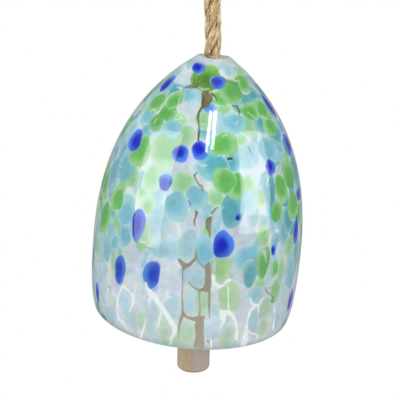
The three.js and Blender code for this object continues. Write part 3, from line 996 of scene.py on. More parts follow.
class ChipPainter:
    """Spreads the colour chips over the unrolled wall of the bell, where they crowd each other."""

    # How often each tint comes among the chips laid at random, by zone
    crown = {Tint.LILAC: 0.4, Tint.PALE_AQUA: 0.25, Tint.MILK: 0.35}
    back = {
        Tint.COBALT: 0.1, Tint.GREEN: 0.2, Tint.PALE_GREEN: 0.12, Tint.TEAL: 0.09, Tint.AQUA: 0.16,
        Tint.PALE_AQUA: 0.12, Tint.OLIVE: 0.03, Tint.LILAC: 0.09, Tint.MILK: 0.09,
    }
    flank = {
        Tint.TEAL: 0.12, Tint.AQUA: 0.24, Tint.GREEN: 0.09, Tint.PALE_GREEN: 0.19, Tint.PALE_AQUA: 0.23,
        Tint.LILAC: 0.13,
    }
    pale_low = {Tint.MILK: 0.44, Tint.LILAC: 0.32, Tint.PALE_AQUA: 0.24}
    pale_high = {
        Tint.MILK: 0.12, Tint.LILAC: 0.14, Tint.PALE_AQUA: 0.44, Tint.PALE_GREEN: 0.14, Tint.AQUA: 0.16,
    }
    flank_start = math.radians(46)
    flank_end = math.radians(104)
    crown_height = 147 * MM  # the sides are palest above this
    pale_height = 85 * MM  # the chips laid at random are paler below this
    foot_height = 40 * MM  # and the sides are as pale as the rest below this
    crown_bare = 0.004  # the share of the wall that stays bare in each zone
    back_bare = 0.05
    flank_bare = 0.006
    rest_bare = 0.008

    # The chips' form
    laid_lean = 6  # the most that a chip leans if listed, in degrees
    random_lean = 14  # and if laid at random
    most_taper = 0.16
    random_width = (7.5, 11)  # in millimetres
    round_tall = (0.95, 1.2)  # height of a chip near the crown, in widths
    long_tall = (0.3, 0.75)  # how much taller it is near the rim
    laid_growth = 1.14  # how much bigger than laid the chips on top are
    high_growth = 0.2  # and how much more that is near the crown
    growth_start = 60  # the height at which that starts, in millimetres
    growth_span = 60  # and how much higher it is full
    swells = ((2, 0.05), (3, 0.05), (5, 0.025))  # the waves in an outline: how many, and how high
    taper_limits = (0.5, 1.5)
    cover_reach = 1.04  # how far a chip keeps others away, in chip sizes
    cover_window = 1.1  # and how far out that is looked up

    # The chips' colours
    reach = 1.6  # how far a deep chip's surroundings go, in chip sizes
    top_reach = 1.2  # and those of a chip on top
    mingle = 6.0  # how sharply the pale chips part from each other
    bias = 0.42  # how far a chip's colour leans to one side, in chip sizes
    core_end = 1.1  # where its middle colour ends, in chip sizes
    shine_change = 0.08  # how much brighter or darker a chip may be
    milky = 0.5  # how much milk the chips take up at the rim
    milky_full = 8 * MM  # below this run
    milky_none = 62 * MM  # and none above this one
    # painted highlight: the chips' thin pale rims, where light glints on their edges
    rim_highlight_tone = linear(238, 247, 240)
    rim_highlight = 0.6  # how strongly the painted highlights of the chips' thin pale rims show
    rim_highlight_limits = (0.66, 0.4)  # where they do, on a wavering field
    rim_line = 0.4 * MM  # half width of a chip's pale rim
    hue_change = (0.12, 0.04, 0.1)  # how much each channel changes over the wall

    # The crown's ring and the rim's edge
    crown_tone = linear(220, 226, 231)
    crown_full = 2 * MM
    crown_none = 5 * MM
    edge_tone = linear(112, 156, 170)
    edge = 0.55  # how strongly the rim's edge is tinted
    edge_width = 3 * MM

    # The veins, glints, cracks and gaps
    front_limit = math.radians(80)  # the veins of the back start here
    back_veins = 36
    back_vein_light = 0.75  # how strongly a vein of the back is painted near-white, painted light like the bright backdrop seen through it
    back_vein_clear = 0.3  # and how clear its glass
    # painted light: the front veins are also painted near-white, like the bright backdrop seen through them
    vein_light = 0.9
    vein_clear = 0.4
    vein_blur = 0.32 * MM  # half width of a vein's blurred edge
    # the near-white of the painted glints, and of the veins' painted light
    glint_tone = linear(250, 253, 250)
    glint = 0.6  # how strongly the painted glints show
    glint_width = 0.75  # how much they keep of their laid width
    crack_tone = linear(86, 104, 92)
    crack = 0.75  # how strongly the dark cracks show
    # painted light and shade of what shows through the gaps: near the rim a light, warm wood tone that lifts
    # the shaded dowel, near the crown the knot's colour in its shade, tinted by the green chips
    low_gap_light = linear(226, 202, 174)
    high_gap_shade = linear(136, 120, 58)
    low_gap_clear = 0.74  # how clear the glass of a gap is near the rim
    high_gap_clear = 0.5  # and near the crown
    low_gap_top = 60 * MM
    high_gap_bottom = 100 * MM

    def __init__(self, bell: GlassBell, rng: np.random.Generator) -> None:
        """Start with a bare wall.

        Args:
            bell: the bell whose wall it is.
            rng: where all chance comes from.
        """
        self.bell = bell
        self.rng = rng
        self.azimuth = np.arange(bell.layer_columns) / bell.layer_columns * 2 * math.pi - math.pi
        places = (-bell.rim_over, bell.fine_run, bell.run[-1] + bell.lip_over)
        self.run = np.interp(np.linspace(0, 1, bell.layer_rows), (0, bell.fine_share, 1), places)
        self.radius, self.height = bell.wall_at(self.run, bell.wall / 2)
        size = (bell.layer_rows, bell.layer_columns)
        self.covered = np.zeros(size, dtype=bool)
        self.chips: list[Chip] = []

    def window(self, azimuth: float, low: float, high: float, half_wide: float) -> tuple[Window, Array]:
        """Pick the spots of the wall round a place.

        Args:
            azimuth: the place round the bell, in radians.
            low: the lowest run of interest.
            high: the highest run of interest.
            half_wide: how far to each side, in metres.

        Returns:
            The spots, and how far each lies to the right of the place, in metres.
        """
        rows = np.flatnonzero((self.run > low) & (self.run < high))
        turn = (self.azimuth - azimuth + math.pi) % (2 * math.pi) - math.pi
        narrowest = self.radius[rows].min() if len(rows) else self.bell.radius
        columns = np.flatnonzero(np.abs(turn) * narrowest < half_wide)
        return np.ix_(rows, columns), turn[None, columns] * self.radius[rows, None]

    def shape(self, chip: Chip, reach: float, bias: float = 0.0) -> tuple[Window, Array]:
        """Measure how far inside or outside a chip the spots of the wall are.

        Args:
            chip: the chip.
            reach: how far from its middle the spots are of interest, in chip sizes.
            bias: how far its colour leans to one side, in chip sizes.

        Returns:
            The spots that are near enough, and for each spot 0 at the chip's middle and 1 at its edge.
        """
        room, side_room = 1.15, 1.3  # for the swells, the lean and the taper
        far = reach * room * max(chip.half_tall, chip.half_wide)
        spots, across = self.window(chip.azimuth, chip.run - far, chip.run + far, side_room * far)
        up = self.run[spots[0]] - chip.run
        cos, sin = math.cos(chip.lean), math.sin(chip.lean)
        tall = (up * cos - across * sin) / chip.half_tall
        wide = (across * cos + up * sin) / chip.half_wide / np.clip(1 + chip.taper * tall, *self.taper_limits)
        angle = np.arctan2(tall, wide)
        swell = np.ones_like(angle)
        for (order, size), phase in zip(self.swells, chip.phases):
            swell += size * np.sin(order * angle + phase)
        side = wide * math.cos(chip.phases[2]) + tall * math.sin(chip.phases[2])
        return spots, np.hypot(wide, tall) / swell + bias * side

    def make(self, azimuth: float, run: float, size: Flat, tint: Tint, lean: float) -> Chip:
        """Make a chip with an outline of its own.

        Args:
            azimuth: its place round the bell, in radians.
            run: its place along the wall.
            size: its half width and half height.
            tint: its kind.
            lean: the most that it leans, in degrees.

        Returns:
            The chip.
        """
        turn = math.radians(self.rng.uniform(-lean, lean))
        phases = tuple(self.rng.uniform(0, 2 * math.pi, 3))
        taper = self.rng.uniform(-self.most_taper, self.most_taper)
        return Chip(azimuth, run, *size, tint.value, turn, phases, taper)

    def by_row(self, row: ChipRow, tint: Tint) -> Chip:
        """Make a chip from the list.

        Args:
            row: its row in the list.
            tint: its kind.

        Returns:
            The chip.
        """
        azimuth, height, wide, tall = row
        half = MM / 2
        if tint.value.on_top and not tint.value.lasting:
            high = min(max((height - self.growth_start) / self.growth_span, 0), 1)
            half *= self.laid_growth + self.high_growth * high
        run = self.bell.run_at(height * MM)
        return self.make(math.radians(azimuth), run, (wide * half, tall * half), tint, self.laid_lean)

    def add(self, chip: Chip) -> None:
        """Lay a chip.

        Args:
            chip: the chip.
        """
        spots, away = self.shape(chip, self.cover_window)
        self.covered[spots] |= away < self.cover_reach
        self.chips.append(chip)

    def size_at(self, run: float) -> Flat:
        """Choose the size of a chip: round near the crown, long near the rim.

        Args:
            run: its place along the wall.

        Returns:
            Its half width and half height.
        """
        low = 1 - run / self.bell.run[-1]
        wide = self.rng.uniform(*self.random_width) * MM
        tall = wide * (self.rng.uniform(*self.round_tall) + self.rng.uniform(*self.long_tall) * low)
        return wide / 2, tall / 2

    def scatter(self, zone: Array, weights: dict[Tint, float], share_left: float) -> None:
        """Lay chips at random on bare spots until few are left.

        Args:
            zone: the spots to fill.
            weights: how often each tint comes.
            share_left: the share of the wall at which it stops.
        """
        tints = list(weights)
        odds = np.array(list(weights.values()))
        odds = odds / odds.sum()
        while True:
            bare = np.flatnonzero(zone & ~self.covered)
            if len(bare) < share_left * self.covered.size:
                return
            row, column = divmod(int(self.rng.choice(bare)), len(self.azimuth))
            tint = tints[self.rng.choice(len(tints), p=odds)]
            run = float(self.run[row])
            self.add(self.make(float(self.azimuth[column]), run, self.size_at(run), tint, self.random_lean))

    def lay(self) -> None:
        """Lay the listed chips of the front, then the back and the rest at random."""
        for tint, rows in FRONT_CHIPS.items():
            for row in rows:
                self.add(self.by_row(row, tint))
        turned, height = np.meshgrid(np.abs(self.azimuth), self.height)
        low = height < self.pale_height
        beside = turned > self.flank_start
        behind = turned > self.flank_end
        self.scatter((height > self.crown_height) & beside, self.crown, self.crown_bare)
        self.scatter(behind, self.back, self.back_bare)
        self.scatter(beside & ~behind & (height >= self.foot_height), self.flank, self.flank_bare)
        self.scatter(low, self.pale_low, self.rest_bare)
        self.scatter(~low, self.pale_high, self.rest_bare)

    def draw(self, stroke: Stroke, mask: Array, strength: float) -> None:
        """Draw a stroke of changing width on the wall.

        Args:
            stroke: its points.
            mask: what it is drawn into, 0 to 1 for each spot.
            strength: the value that it is drawn with.
        """
        margin = 3 * MM
        for (azimuth, height, width), (next_azimuth, next_height, next_width) in zip(stroke, stroke[1:]):
            start, end = (self.bell.run_at(value * MM) for value in (height, next_height))
            turn = math.radians(next_azimuth - azimuth)
            half_wide = margin + abs(turn) * self.bell.radius
            low, high = min(start, end) - margin, max(start, end) + margin
            spots, across = self.window(math.radians(azimuth), low, high, half_wide)
            up = self.run[spots[0]] - start
            wide = turn * self.radius[spots[0]]
            tall = end - start
            share = np.clip((across * wide + up * tall) / (wide ** 2 + tall ** 2), 0, 1)
            away = np.hypot(across - share * wide, up - share * tall)
            half = (width + (next_width - width) * share) * MM / 2
            drawn = strength * fade(away - half, -self.vein_blur, self.vein_blur)
            mask[spots] = np.maximum(mask[spots], drawn)

    def back_vein(self) -> Stroke:
        """Make up a vein for the back: a line that climbs and bends a little, most of them near the rim.

        Returns:
            Its points.
        """
        lowest, span, crowding = 2, 95, 2.5
        most_drift, most_bend, climb = 1.8, 0.9, (3, 6)
        end_width, widths = 0.3, (0.5, 1.9)
        azimuth = math.degrees(self.rng.uniform(self.front_limit, 2 * math.pi - self.front_limit))
        height = lowest + span * self.rng.random() ** crowding
        drift = self.rng.uniform(-most_drift, most_drift)
        points = []
        for width in (end_width, *self.rng.uniform(*widths, 3), end_width):
            points.append((azimuth, height, width))
            drift += self.rng.uniform(-most_bend, most_bend)
            azimuth += drift
            height += self.rng.uniform(*climb)
        return tuple(points)

    def waver(self, fewest: int, most: int, climbs: float, waves: int = 14) -> Array:
        """Make a smooth random field over the wall.

        Args:
            fewest: the fewest crests of a wave round the bell.
            most: the most crests of a wave round the bell.
            climbs: how much a wave may turn from the rim to the crown, in radians.
            waves: how many waves are summed.

        Returns:
            A value of about 0 to 1 for each spot.
        """
        turn, climb = np.meshgrid(self.azimuth, self.run / self.bell.run[-1])
        total = np.zeros_like(turn)
        for _ in range(waves):
            around = self.rng.integers(fewest, most)
            rise = self.rng.uniform(-climbs, climbs)
            total += np.sin(around * turn + rise * climb + self.rng.uniform(0, 2 * math.pi))
        return np.clip(0.5 + total / (waves / 2), 0, 1)

    def base(self) -> Array:
        """Mingle the pale chips that lie deepest.

        Returns:
            Their colours.
        """
        size = self.covered.shape
        least = 1e-5  # the weight of the milk where no chip is near
        whole = np.full(size, least)
        colours = np.tile(np.array(Tint.MILK.value.edge) * least, (*size, 1))
        for chip in self.chips:
            if not chip.glass.on_top:
                spots, away = self.shape(chip, self.reach)
                weight = np.exp(-self.mingle * away)
                whole[spots] += weight
                colours[spots] += self.tone(chip, away) * weight[..., None]
        return colours / whole[..., None]

    def tone(self, chip: Chip, away: Array) -> Array:
        """Colour a chip from its middle to its edge, milkier near the rim.

        Args:
            chip: the chip.
            away: for each spot 0 at the chip's middle and 1 at its edge.

        Returns:
            The colour of each spot.
        """
        core = fade(away, chip.glass.core, self.core_end)[..., None]
        shine = 1 + self.shine_change * math.sin(chip.phases[0])
        colour = (np.array(chip.glass.edge) * (1 - core) + np.array(chip.glass.middle) * core) * shine
        if chip.glass.lasting:
            return colour
        milky = self.milky * float(fade(np.array(chip.run), self.milky_full, self.milky_none))
        return colour + (np.array(Tint.MILK.value.middle) - colour) * milky

    def add_top(self, colours: Array) -> None:
        """Paint the chips that lie on top, with the painted highlights of their thin pale rims.

        Args:
            colours: the colours that they are painted into.
        """
        # where the painted highlights of the rims show, on a wavering field
        lines = self.rim_highlight * fade(self.waver(4, 26, 34), *self.rim_highlight_limits)
        for chip in reversed(self.chips):
            if chip.glass.on_top:
                soft = chip.glass.softness
                spots, away = self.shape(chip, self.top_reach)
                _, deep = self.shape(chip, self.top_reach, self.bias)
                share = fade(away, 1 - soft, 1 + soft) * chip.glass.strength
                colours[spots] += (self.tone(chip, deep) - colours[spots]) * share[..., None]
                # painted highlight along the chip's edge
                off_edge = np.abs(away - 1) * min(chip.half_wide, chip.half_tall)
                rim = fade(off_edge, 0.0, self.rim_line) * lines[spots]
                colours[spots] += (np.array(self.rim_highlight_tone) - colours[spots]) * rim[..., None]

    def mask_of(self, strokes: Sequence[Stroke], strength: float) -> Array:
        """Draw strokes into a bare mask.

        Args:
            strokes: the strokes.
            strength: the value that they are drawn with.

        Returns:
            The mask, 0 to the strength for each spot.
        """
        mask = np.zeros(self.covered.shape)
        for stroke in strokes:
            self.draw(stroke, mask, strength)
        return mask

    def paint(self) -> tuple[Array, Array]:
        """Paint the pale chips, the others on top of them and the thin pale lines of painted highlight, and
        leave the veins clear.

        Returns:
            The colour of each spot, and how much of it is coloured glass.
        """
        self.lay()
        colours = self.base()
        self.add_top(colours)
        for channel, change in enumerate(self.hue_change):
            colours[..., channel] *= 1 + change * (self.waver(14, 60, 90) - 0.5)
        below_top = self.bell.run[-1] - self.run
        back_veins = [self.back_vein() for _ in range(self.back_veins)]
        glints = [tuple((azimuth, height, width * self.glint_width) for azimuth, height, width in stroke)
                  for stroke in FRONT_GLINTS]
        gaps = self.mask_of(FRONT_GAPS, 1.0)
        # painted light and highlights: the veins painted near-white like the backdrop seen through them, and
        # the glints
        bright = np.maximum.reduce([
            self.mask_of(back_veins, self.back_vein_light),
            self.mask_of(FRONT_VEINS, self.vein_light),
            self.mask_of(glints, self.glint),
        ])
        low = fade(self.height, self.low_gap_top, self.high_gap_bottom)[:, None]
        # the gaps' painted light near the rim, turning to painted shade near the crown
        gap_light_and_shade = np.array(self.low_gap_light) * low + np.array(self.high_gap_shade) * (1 - low)
        for tone, share in (
            (self.crown_tone, fade(below_top, self.crown_full, self.crown_none)[:, None]),
            (self.edge_tone, self.edge * fade(self.run, -self.bell.rim_over, self.edge_width)[:, None]),
            (self.glint_tone, bright),
            (self.crack_tone, self.mask_of(FRONT_CRACKS, self.crack)),
            (gap_light_and_shade[:, None], gaps),
        ):
            colours += (np.array(tone) - colours) * share[..., None]
        clear = np.maximum.reduce([
            self.mask_of(back_veins, self.back_vein_clear),
            self.mask_of(FRONT_VEINS, self.vein_clear),
            gaps * (self.low_gap_clear * low + self.high_gap_clear * (1 - low)),
        ])
        return np.clip(colours, 0, 1), 1 - clear


@dataclass(frozen=True)
class Lay:
    """How a cord is laid up from strands, and how finely it is modelled."""

    strands: int = 3
    turn: float = 4.4  # length of one turn of a strand, in cord diameters
    yarns: int = 12
    sides: int = 42
    step: float = 0.8 * MM
    groove: float = 0.1  # depth of the grooves between the yarns, in strand radii
    press: float = 0.36  # how much the strands keep of their round form, 1 for all of it


class LaidCord:
    """A cord of twisted strands along one smooth middle line."""

    touch = 0.464  # radius of three strands that touch in a cord of radius 1
    uv_per_metre = 100
    uv_apart = 7 * MM  # how far the strands' patterns lie apart
    notch_power = 5  # how narrow the grooves between the yarns are
    least_share = 0.02  # keeps the middle of the cord from being pressed apart
    steep = 0.8  # a line that points more along Y than this starts its side direction from X
    hair_length = (2, 5)  # in millimetres
    hair_thick = (0.07, 0.13)  # at the root, in millimetres
    hair_thinning = 0.7
    hair_lift = (0.1, 0.38)
    hair_sway = 0.5
    hair_points = 5
    hair_turns = (0, 2.09, 4.19)
    hair_root = 0.88  # where it starts, in cord radii
    hair_curl = 1.4  # the power by which it lifts along its length
    hair_uv = ((0, 40), (0, 3))

    def __init__(self, line: Array, stations: Sequence[Flat], lay: Lay) -> None:
        """Work out the strands.

        Args:
            line: the cord's middle line.
            stations: pairs of (run along the line, diameter there).
            lay: how the cord is laid up.
        """
        self.lay = lay
        self.line = evenly(line, lay.step)
        self.run = run_of(self.line)
        places, diameters = zip(*stations)
        self.radius = np.interp(self.run, places, diameters) / 2
        self.tangent = unit(np.gradient(self.line, axis=0))
        self.normal = self.carry_normal()
        self.binormal = np.cross(self.tangent, self.normal)
        rate = math.pi / (lay.turn * self.radius)
        self.phase = np.concatenate([[0.0], np.cumsum((rate[1:] + rate[:-1]) / 2 * np.diff(self.run))])

    @property
    def length(self) -> float:
        """The cord's length."""
        return float(self.run[-1])

    def carry_normal(self) -> Array:
        """Carry one side direction along the line without twisting it.

        Returns:
            The direction at each point.
        """
        first = self.tangent[0]
        start = np.cross(first, (0, 1, 0) if abs(first[1]) < self.steep else (1, 0, 0))
        normals = [start / np.linalg.norm(start)]
        for tangent in self.tangent[1:]:
            side = normals[-1] - tangent * np.dot(tangent, normals[-1])
            normals.append(side / np.linalg.norm(side))
        return np.array(normals)

    def strand_centre(self, strand: int) -> tuple[Array, Array]:
        """Find a strand's middle line.

        Args:
            strand: the strand's number.

        Returns:
            The line, and the directions away from the cord's middle.
        """
        angle = (self.phase + 2 * math.pi * strand / self.lay.strands)[:, None]
        away = np.cos(angle) * self.normal + np.sin(angle) * self.binormal
        return self.line + away * (self.radius * (1 - self.touch))[:, None], away

    def strand_rings(self, strand: int, rows: slice) -> tuple[Array, Array, Array]:
        """Model a strand's surface, with the ridges of its yarns running along the cord.

        Args:
            strand: the strand's number.
            rows: the stretch of the line.

        Returns:
            The corners by ring and side, how near to the cord's outside each lies, and the UV, which has one
            more side where the ring closes.
        """
        centre, away = self.strand_centre(strand)
        along = unit(np.gradient(centre, axis=0))
        out = unit(away - along * np.sum(away * along, axis=1, keepdims=True))
        side = np.cross(along, out)
        thick = self.radius * self.touch
        slant = math.pi * (1 - self.touch) / self.lay.turn
        drift = run_of(centre) * slant
        turn = np.linspace(-math.pi, math.pi, self.lay.sides + 1)
        ridge = turn[None, :] + (drift / thick)[:, None]
        notch = np.abs(np.cos(self.lay.yarns * ridge / 2)) ** self.notch_power
        reach = thick[:, None] * (1 - self.lay.groove * notch)
        points = centre[:, None] + reach[..., None] * (
            np.cos(turn)[None, :, None] * out[:, None] + np.sin(turn)[None, :, None] * side[:, None])
        points, fullness = self.pressed(points)
        around = turn[None, :] * thick[:, None] + drift[:, None] + strand * self.uv_apart
        uv = np.stack([np.broadcast_to(self.run[:, None], around.shape), around], axis=-1) * self.uv_per_metre
        return points[rows, :-1], fullness[rows, :-1], uv[rows]

    def pressed(self, points: Array) -> tuple[Array, Array]:
        """Press the strands together, so that the cord is fuller and its grooves are shallower.

        Args:
            points: a strand's corners by ring and side.

        Returns:
            The new corners, and how near to the cord's outside each was, 1 for on it.
        """
        offset = points - self.line[:, None]
        ahead = np.sum(offset * self.tangent[:, None], axis=-1, keepdims=True) * self.tangent[:, None]
        spread = offset - ahead
        share = np.linalg.norm(spread, axis=-1, keepdims=True) / self.radius[:, None, None]
        fuller = spread * np.maximum(share, self.least_share) ** (self.lay.press - 1)
        return self.line[:, None] + ahead + fuller, share[..., 0]

    def build(self, name: str, start: float, end: float, hairs: int, seed: int) -> Piece:
        """Model a stretch of the cord as one piece.

        Args:
            name: the piece's name.
            start: the run at which the stretch starts.
            end: the run at which it ends.
            hairs: how many loose fibres stand off it.
            seed: where their places come from.

        Returns:
            The piece, with its UV map "strand" and its attribute "fullness".
        """
        first, last = (int(np.argmin(np.abs(self.run - place))) for place in (start, end))
        rows = slice(first, last + 1)
        corners: list[Array] = []
        faces: list[list[int]] = []
        uvs: list[Array] = []
        fullness: list[Array] = []
        count = 0
        for strand in range(self.lay.strands):
            points, full, uv = self.strand_rings(strand, rows)
            rings, sides = points.shape[:2]
            ends = np.stack([points[0].mean(axis=0), points[-1].mean(axis=0)])
            corners.extend([points.reshape(-1, 3), ends])
            fullness.extend([full.ravel(), np.ones(2)])
            number = count + np.arange(rings * sides).reshape(rings, sides)
            number = np.column_stack([number, number[:, 0]])
            faces.extend(cells(number).reshape(-1, 4).tolist())
            uvs.append(cells(uv).reshape(-1, 2))
            for cap, ring, order in ((rings * sides, 0, -1), (rings * sides + 1, -1, 1)):
                for k in range(sides):
                    faces.append([count + cap, *number[ring, k:k + 2][::order].tolist()])
                    uvs.append(np.vstack([uv[ring, sides // 2], uv[ring, k:k + 2][::order]]))
            count += rings * sides + 2
        for points, skin, uv in self.loose_fibres(rows, hairs, np.random.default_rng(seed)):
            corners.append(points)
            fullness.append(np.ones(len(points)))
            faces.extend([count + index for index in face] for face in skin)
            uvs.append(np.tile(uv, (sum(len(face) for face in skin), 1)))
            count += len(points)
        piece = Bench.from_arrays(name, np.vstack(corners), faces)
        layer = piece.data.uv_layers.new(name="strand")
        layer.data.foreach_set("uv", np.vstack(uvs).ravel())
        Bench.store(piece, "fullness", np.concatenate(fullness))
        return piece

    def loose_fibres(self, rows: slice, hairs: int, rng: np.random.Generator) -> Iterator[Fibre]:
        """Model loose fibres that stand off the cord.

        Args:
            rows: the stretch of the line.
            hairs: how many there are.
            rng: where their places come from.

        Yields:
            For each fibre its corners, its faces and one UV.
        """
        places = np.arange(len(self.run))[rows]
        t = np.linspace(0, 1, self.hair_points)[:, None]
        skin = [[3 * i + k, 3 * i + (k + 1) % 3, 3 * i + 3 + (k + 1) % 3, 3 * i + 3 + k]
                for i in range(self.hair_points - 1) for k in range(3)]
        tip = 3 * self.hair_points - 3
        skin += [[2, 1, 0], [tip, tip + 1, tip + 2]]
        for _ in range(hairs):
            at = int(rng.choice(places[2:-2]))
            angle = rng.uniform(0, 2 * math.pi)
            out = math.cos(angle) * self.normal[at] + math.sin(angle) * self.binormal[at]
            sideways = np.cross(self.tangent[at], out)
            along = self.tangent[at] * rng.choice((-1, 1))
            length = rng.uniform(*self.hair_length) * MM
            lift = rng.uniform(*self.hair_lift)
            sway = rng.uniform(-self.hair_sway, self.hair_sway)
            root = self.line[at] + out * self.radius[at] * self.hair_root
            spine = root + length * (along * t + out * lift * t ** self.hair_curl + sideways * sway * t ** 2)
            thick = rng.uniform(*self.hair_thick) * MM * (1 - self.hair_thinning * t)
            ring = [spine + thick * (math.cos(a) * out + math.sin(a) * sideways) for a in self.hair_turns]
            points = np.stack(ring, axis=1).reshape(-1, 3)
            inside_out = np.dot(np.cross(out, sideways), along) < 0
            uv = np.array([rng.uniform(*limits) for limits in self.hair_uv])
            yield points, [face[::-1] for face in skin] if inside_out else skin, uv


@dataclass
class HangingRope:
    """The jute rope: a whipped hanging loop, a stretch that bends, and the stopper knot under the crown."""

    bell: GlassBell
    tail: Vector
    rope_d: float = 9.5 * MM
    full_d: float = 9.8 * MM  # with the yarns that stand proud
    knot_d: float = 6.8 * MM
    declared_d: float = 7.4 * MM  # the knotted rope's mean
    narrowing: float = 9 * MM  # length over which the rope gets thinner above the knot
    twine_d: float = 2.6 * MM
    leg_x: float = 5.05 * MM
    whipping_top: float = -61 * MM
    whipping_bottom: float = -88.4 * MM
    whipping_turns: int = 8
    whipping_pitch: float = 3.1 * MM
    whipping_radius: float = 6.45 * MM
    whipping_d: float = 2.9 * MM
    whipping_step: float = 0.8 * MM
    bend_top: float = -100 * MM
    bend_bottom: float = -118 * MM
    hole_x: float = 4.3 * MM
    knot_lean: float = math.radians(16)
    knot_turn: float = math.radians(84)
    knot_lead: float = 3 * MM
    knot_core_d: float = 6.6 * MM
    knot_points: int = 400
    loop_half: tuple[Flat, ...] = (
        (7.3, 3.3), (13.4, -0.8), (17.2, -6.2), (19, -14), (17.6, -26), (13.6, -38.5), (8.8, -50),
        (5.6, -57.5),
    )  # in millimetres, like the ones below
    stem: tuple[Flat, ...] = ((3.9, -93.62), (3.5, -96.52), (3.6, -100))
    bend_middle: Flat = (4.1, -109)
    bend_end: Flat = (4.4, -118)

    def knot_line(self) -> Array:
        """Draw the overhand knot, hung so that its tail ends where the twine starts.

        Returns:
            The middle line, from the rope above down to the tail.
        """
        t = np.linspace(math.pi, -math.pi, self.knot_points)
        across = 0.632 * np.cos(t) - 1.333 * np.cos(2 * t) - 0.047 * np.cos(3 * t)
        deep = -0.046 * np.sin(t) - 0.845 * np.sin(3 * t)
        pull = 1.443 * (t / math.pi) ** 5
        high = 0.371 * np.sin(t) + 1.465 * np.sin(2 * t) - 0.179 * np.sin(3 * t) + pull
        loops = np.column_stack([across - across[0], deep, high]) * self.knot_core_d
        lead_in = unit(loops[0] - loops[1]) * self.knot_lead
        lead_out = unit(loops[-1] - loops[-2]) * self.knot_lead
        line = np.vstack([loops[0] + lead_in, loops, loops[-1] + lead_out])
        turn = Matrix.Rotation(self.knot_lean, 3, "Y") @ Matrix.Rotation(self.knot_turn, 3, "Z")
        line = line @ np.array(turn).T
        return line + (np.array(self.tail) - line[-1])

    def route(self) -> tuple[Array, float, float]:
        """Draw the whole rope, from the cut end in the whipping round the loop and down to the knot's tail.

        Returns:
            The middle line, the run at the middle of the bend, and the run at the knot's start.
        """
        whipping_middle = (self.whipping_top + self.whipping_bottom) / 2
        legs = [(self.leg_x, height) for height in (self.whipping_top, whipping_middle, self.whipping_bottom)]
        down = [(x * MM, z * MM) for x, z in self.loop_half] + legs
        up = [(-x, z) for x, z in reversed(down)]
        below = [(x * MM, z * MM) for x, z in (*self.stem, self.bend_middle, self.bend_end)]
        crest = self.bell.crest.z
        throat = [(self.hole_x, crest), (self.hole_x, crest - self.bell.wall)]
        flat = [*up, (0.0, self.rope_d / 2), *down, *below, *throat]
        knot = self.knot_line()
        into = unit(knot[1] - knot[0])
        above = knot[0] - into * self.rope_d / 3
        upper = smooth_route([(x, 0.0, z) for x, z in flat] + [tuple(above), tuple(knot[0])])
        line = np.vstack([upper, knot[1:]])
        run = run_of(line)
        x, z = below[-2]
        bend = np.argmin(np.linalg.norm(upper - (x, 0, z), axis=1))
        return line, float(run[bend]), float(run[len(upper) - 1])

    def cord(self) -> tuple[LaidCord, float]:
        """Lay up the rope.

        Returns:
            The rope, and the run at the middle of its bend.
        """
        line, bend, knot = self.route()
        whole = float(run_of(line)[-1])
        thick, thin = self.full_d, self.knot_d
        stations = ((0, thick), (knot - self.narrowing, thick), (knot, thin), (whole, thin))
        return LaidCord(line, stations, Lay()), bend

    def whipping_line(self) -> Array:
        """Wind the twine round both legs of the loop.

        Returns:
            The middle line of the winding.
        """
        radius = self.whipping_radius
        side = 2 * self.leg_x
        arc = math.pi * radius
        once = 2 * (side + arc)
        run = np.arange(0, self.whipping_turns * once, self.whipping_step)
        height = self.whipping_top - self.twine_d / 2 - run / once * self.whipping_pitch
        points = []
        for s, z in zip((run + side / 2) % once, height):
            if s < side:
                x, y = s - self.leg_x, -radius
            elif s < side + arc:
                turn = (s - side) / radius - math.pi / 2
                x, y = self.leg_x + radius * math.cos(turn), radius * math.sin(turn)
            elif s < 2 * side + arc:
                x, y = self.leg_x - (s - side - arc), radius
            else:
                turn = (s - 2 * side - arc) / radius + math.pi / 2
                x, y = -self.leg_x + radius * math.cos(turn), radius * math.sin(turn)
            points.append((x, y, z))
        return np.array(points)

    def build(self, jute: Material, twine: Material) -> list[Piece]:
        """Model the rope and its whipping, dress them and join the whipping to the frame.

        Args:
            jute: the rope's material.
            twine: the whipping's material.

        Returns:
            The pieces.
        """
        cord, bend = self.cord()
        upper = cord.build("hanging_rope", 0, bend, hairs=900, seed=3)
        lower = cord.build("knotted_rope", bend, cord.length, hairs=420, seed=4)
        winding = LaidCord(self.whipping_line(), ((0, self.whipping_d), (1, self.whipping_d)),
                           Lay(turn=3.2, yarns=3, sides=9, step=0.7 * MM, groove=0.12))
        whipping = winding.build("whipping", 0, winding.length, hairs=160, seed=5)
        upper.data.materials.append(jute)
        lower.data.materials.append(jute)
        whipping.data.materials.append(twine)
        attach(whipping, "rope")
        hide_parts("loop_whipping")
        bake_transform(upper)
        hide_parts("hanging_loop", "rope_bend")
        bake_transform(lower)
        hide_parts("rope_throat", "stopper_knot")
        LOG.info("hanging rope %.0f mm, knotted rope %.0f mm, whipping %.0f mm", bend / MM,
                 (cord.length - bend) / MM, winding.length / MM)
        return [upper, lower, whipping]


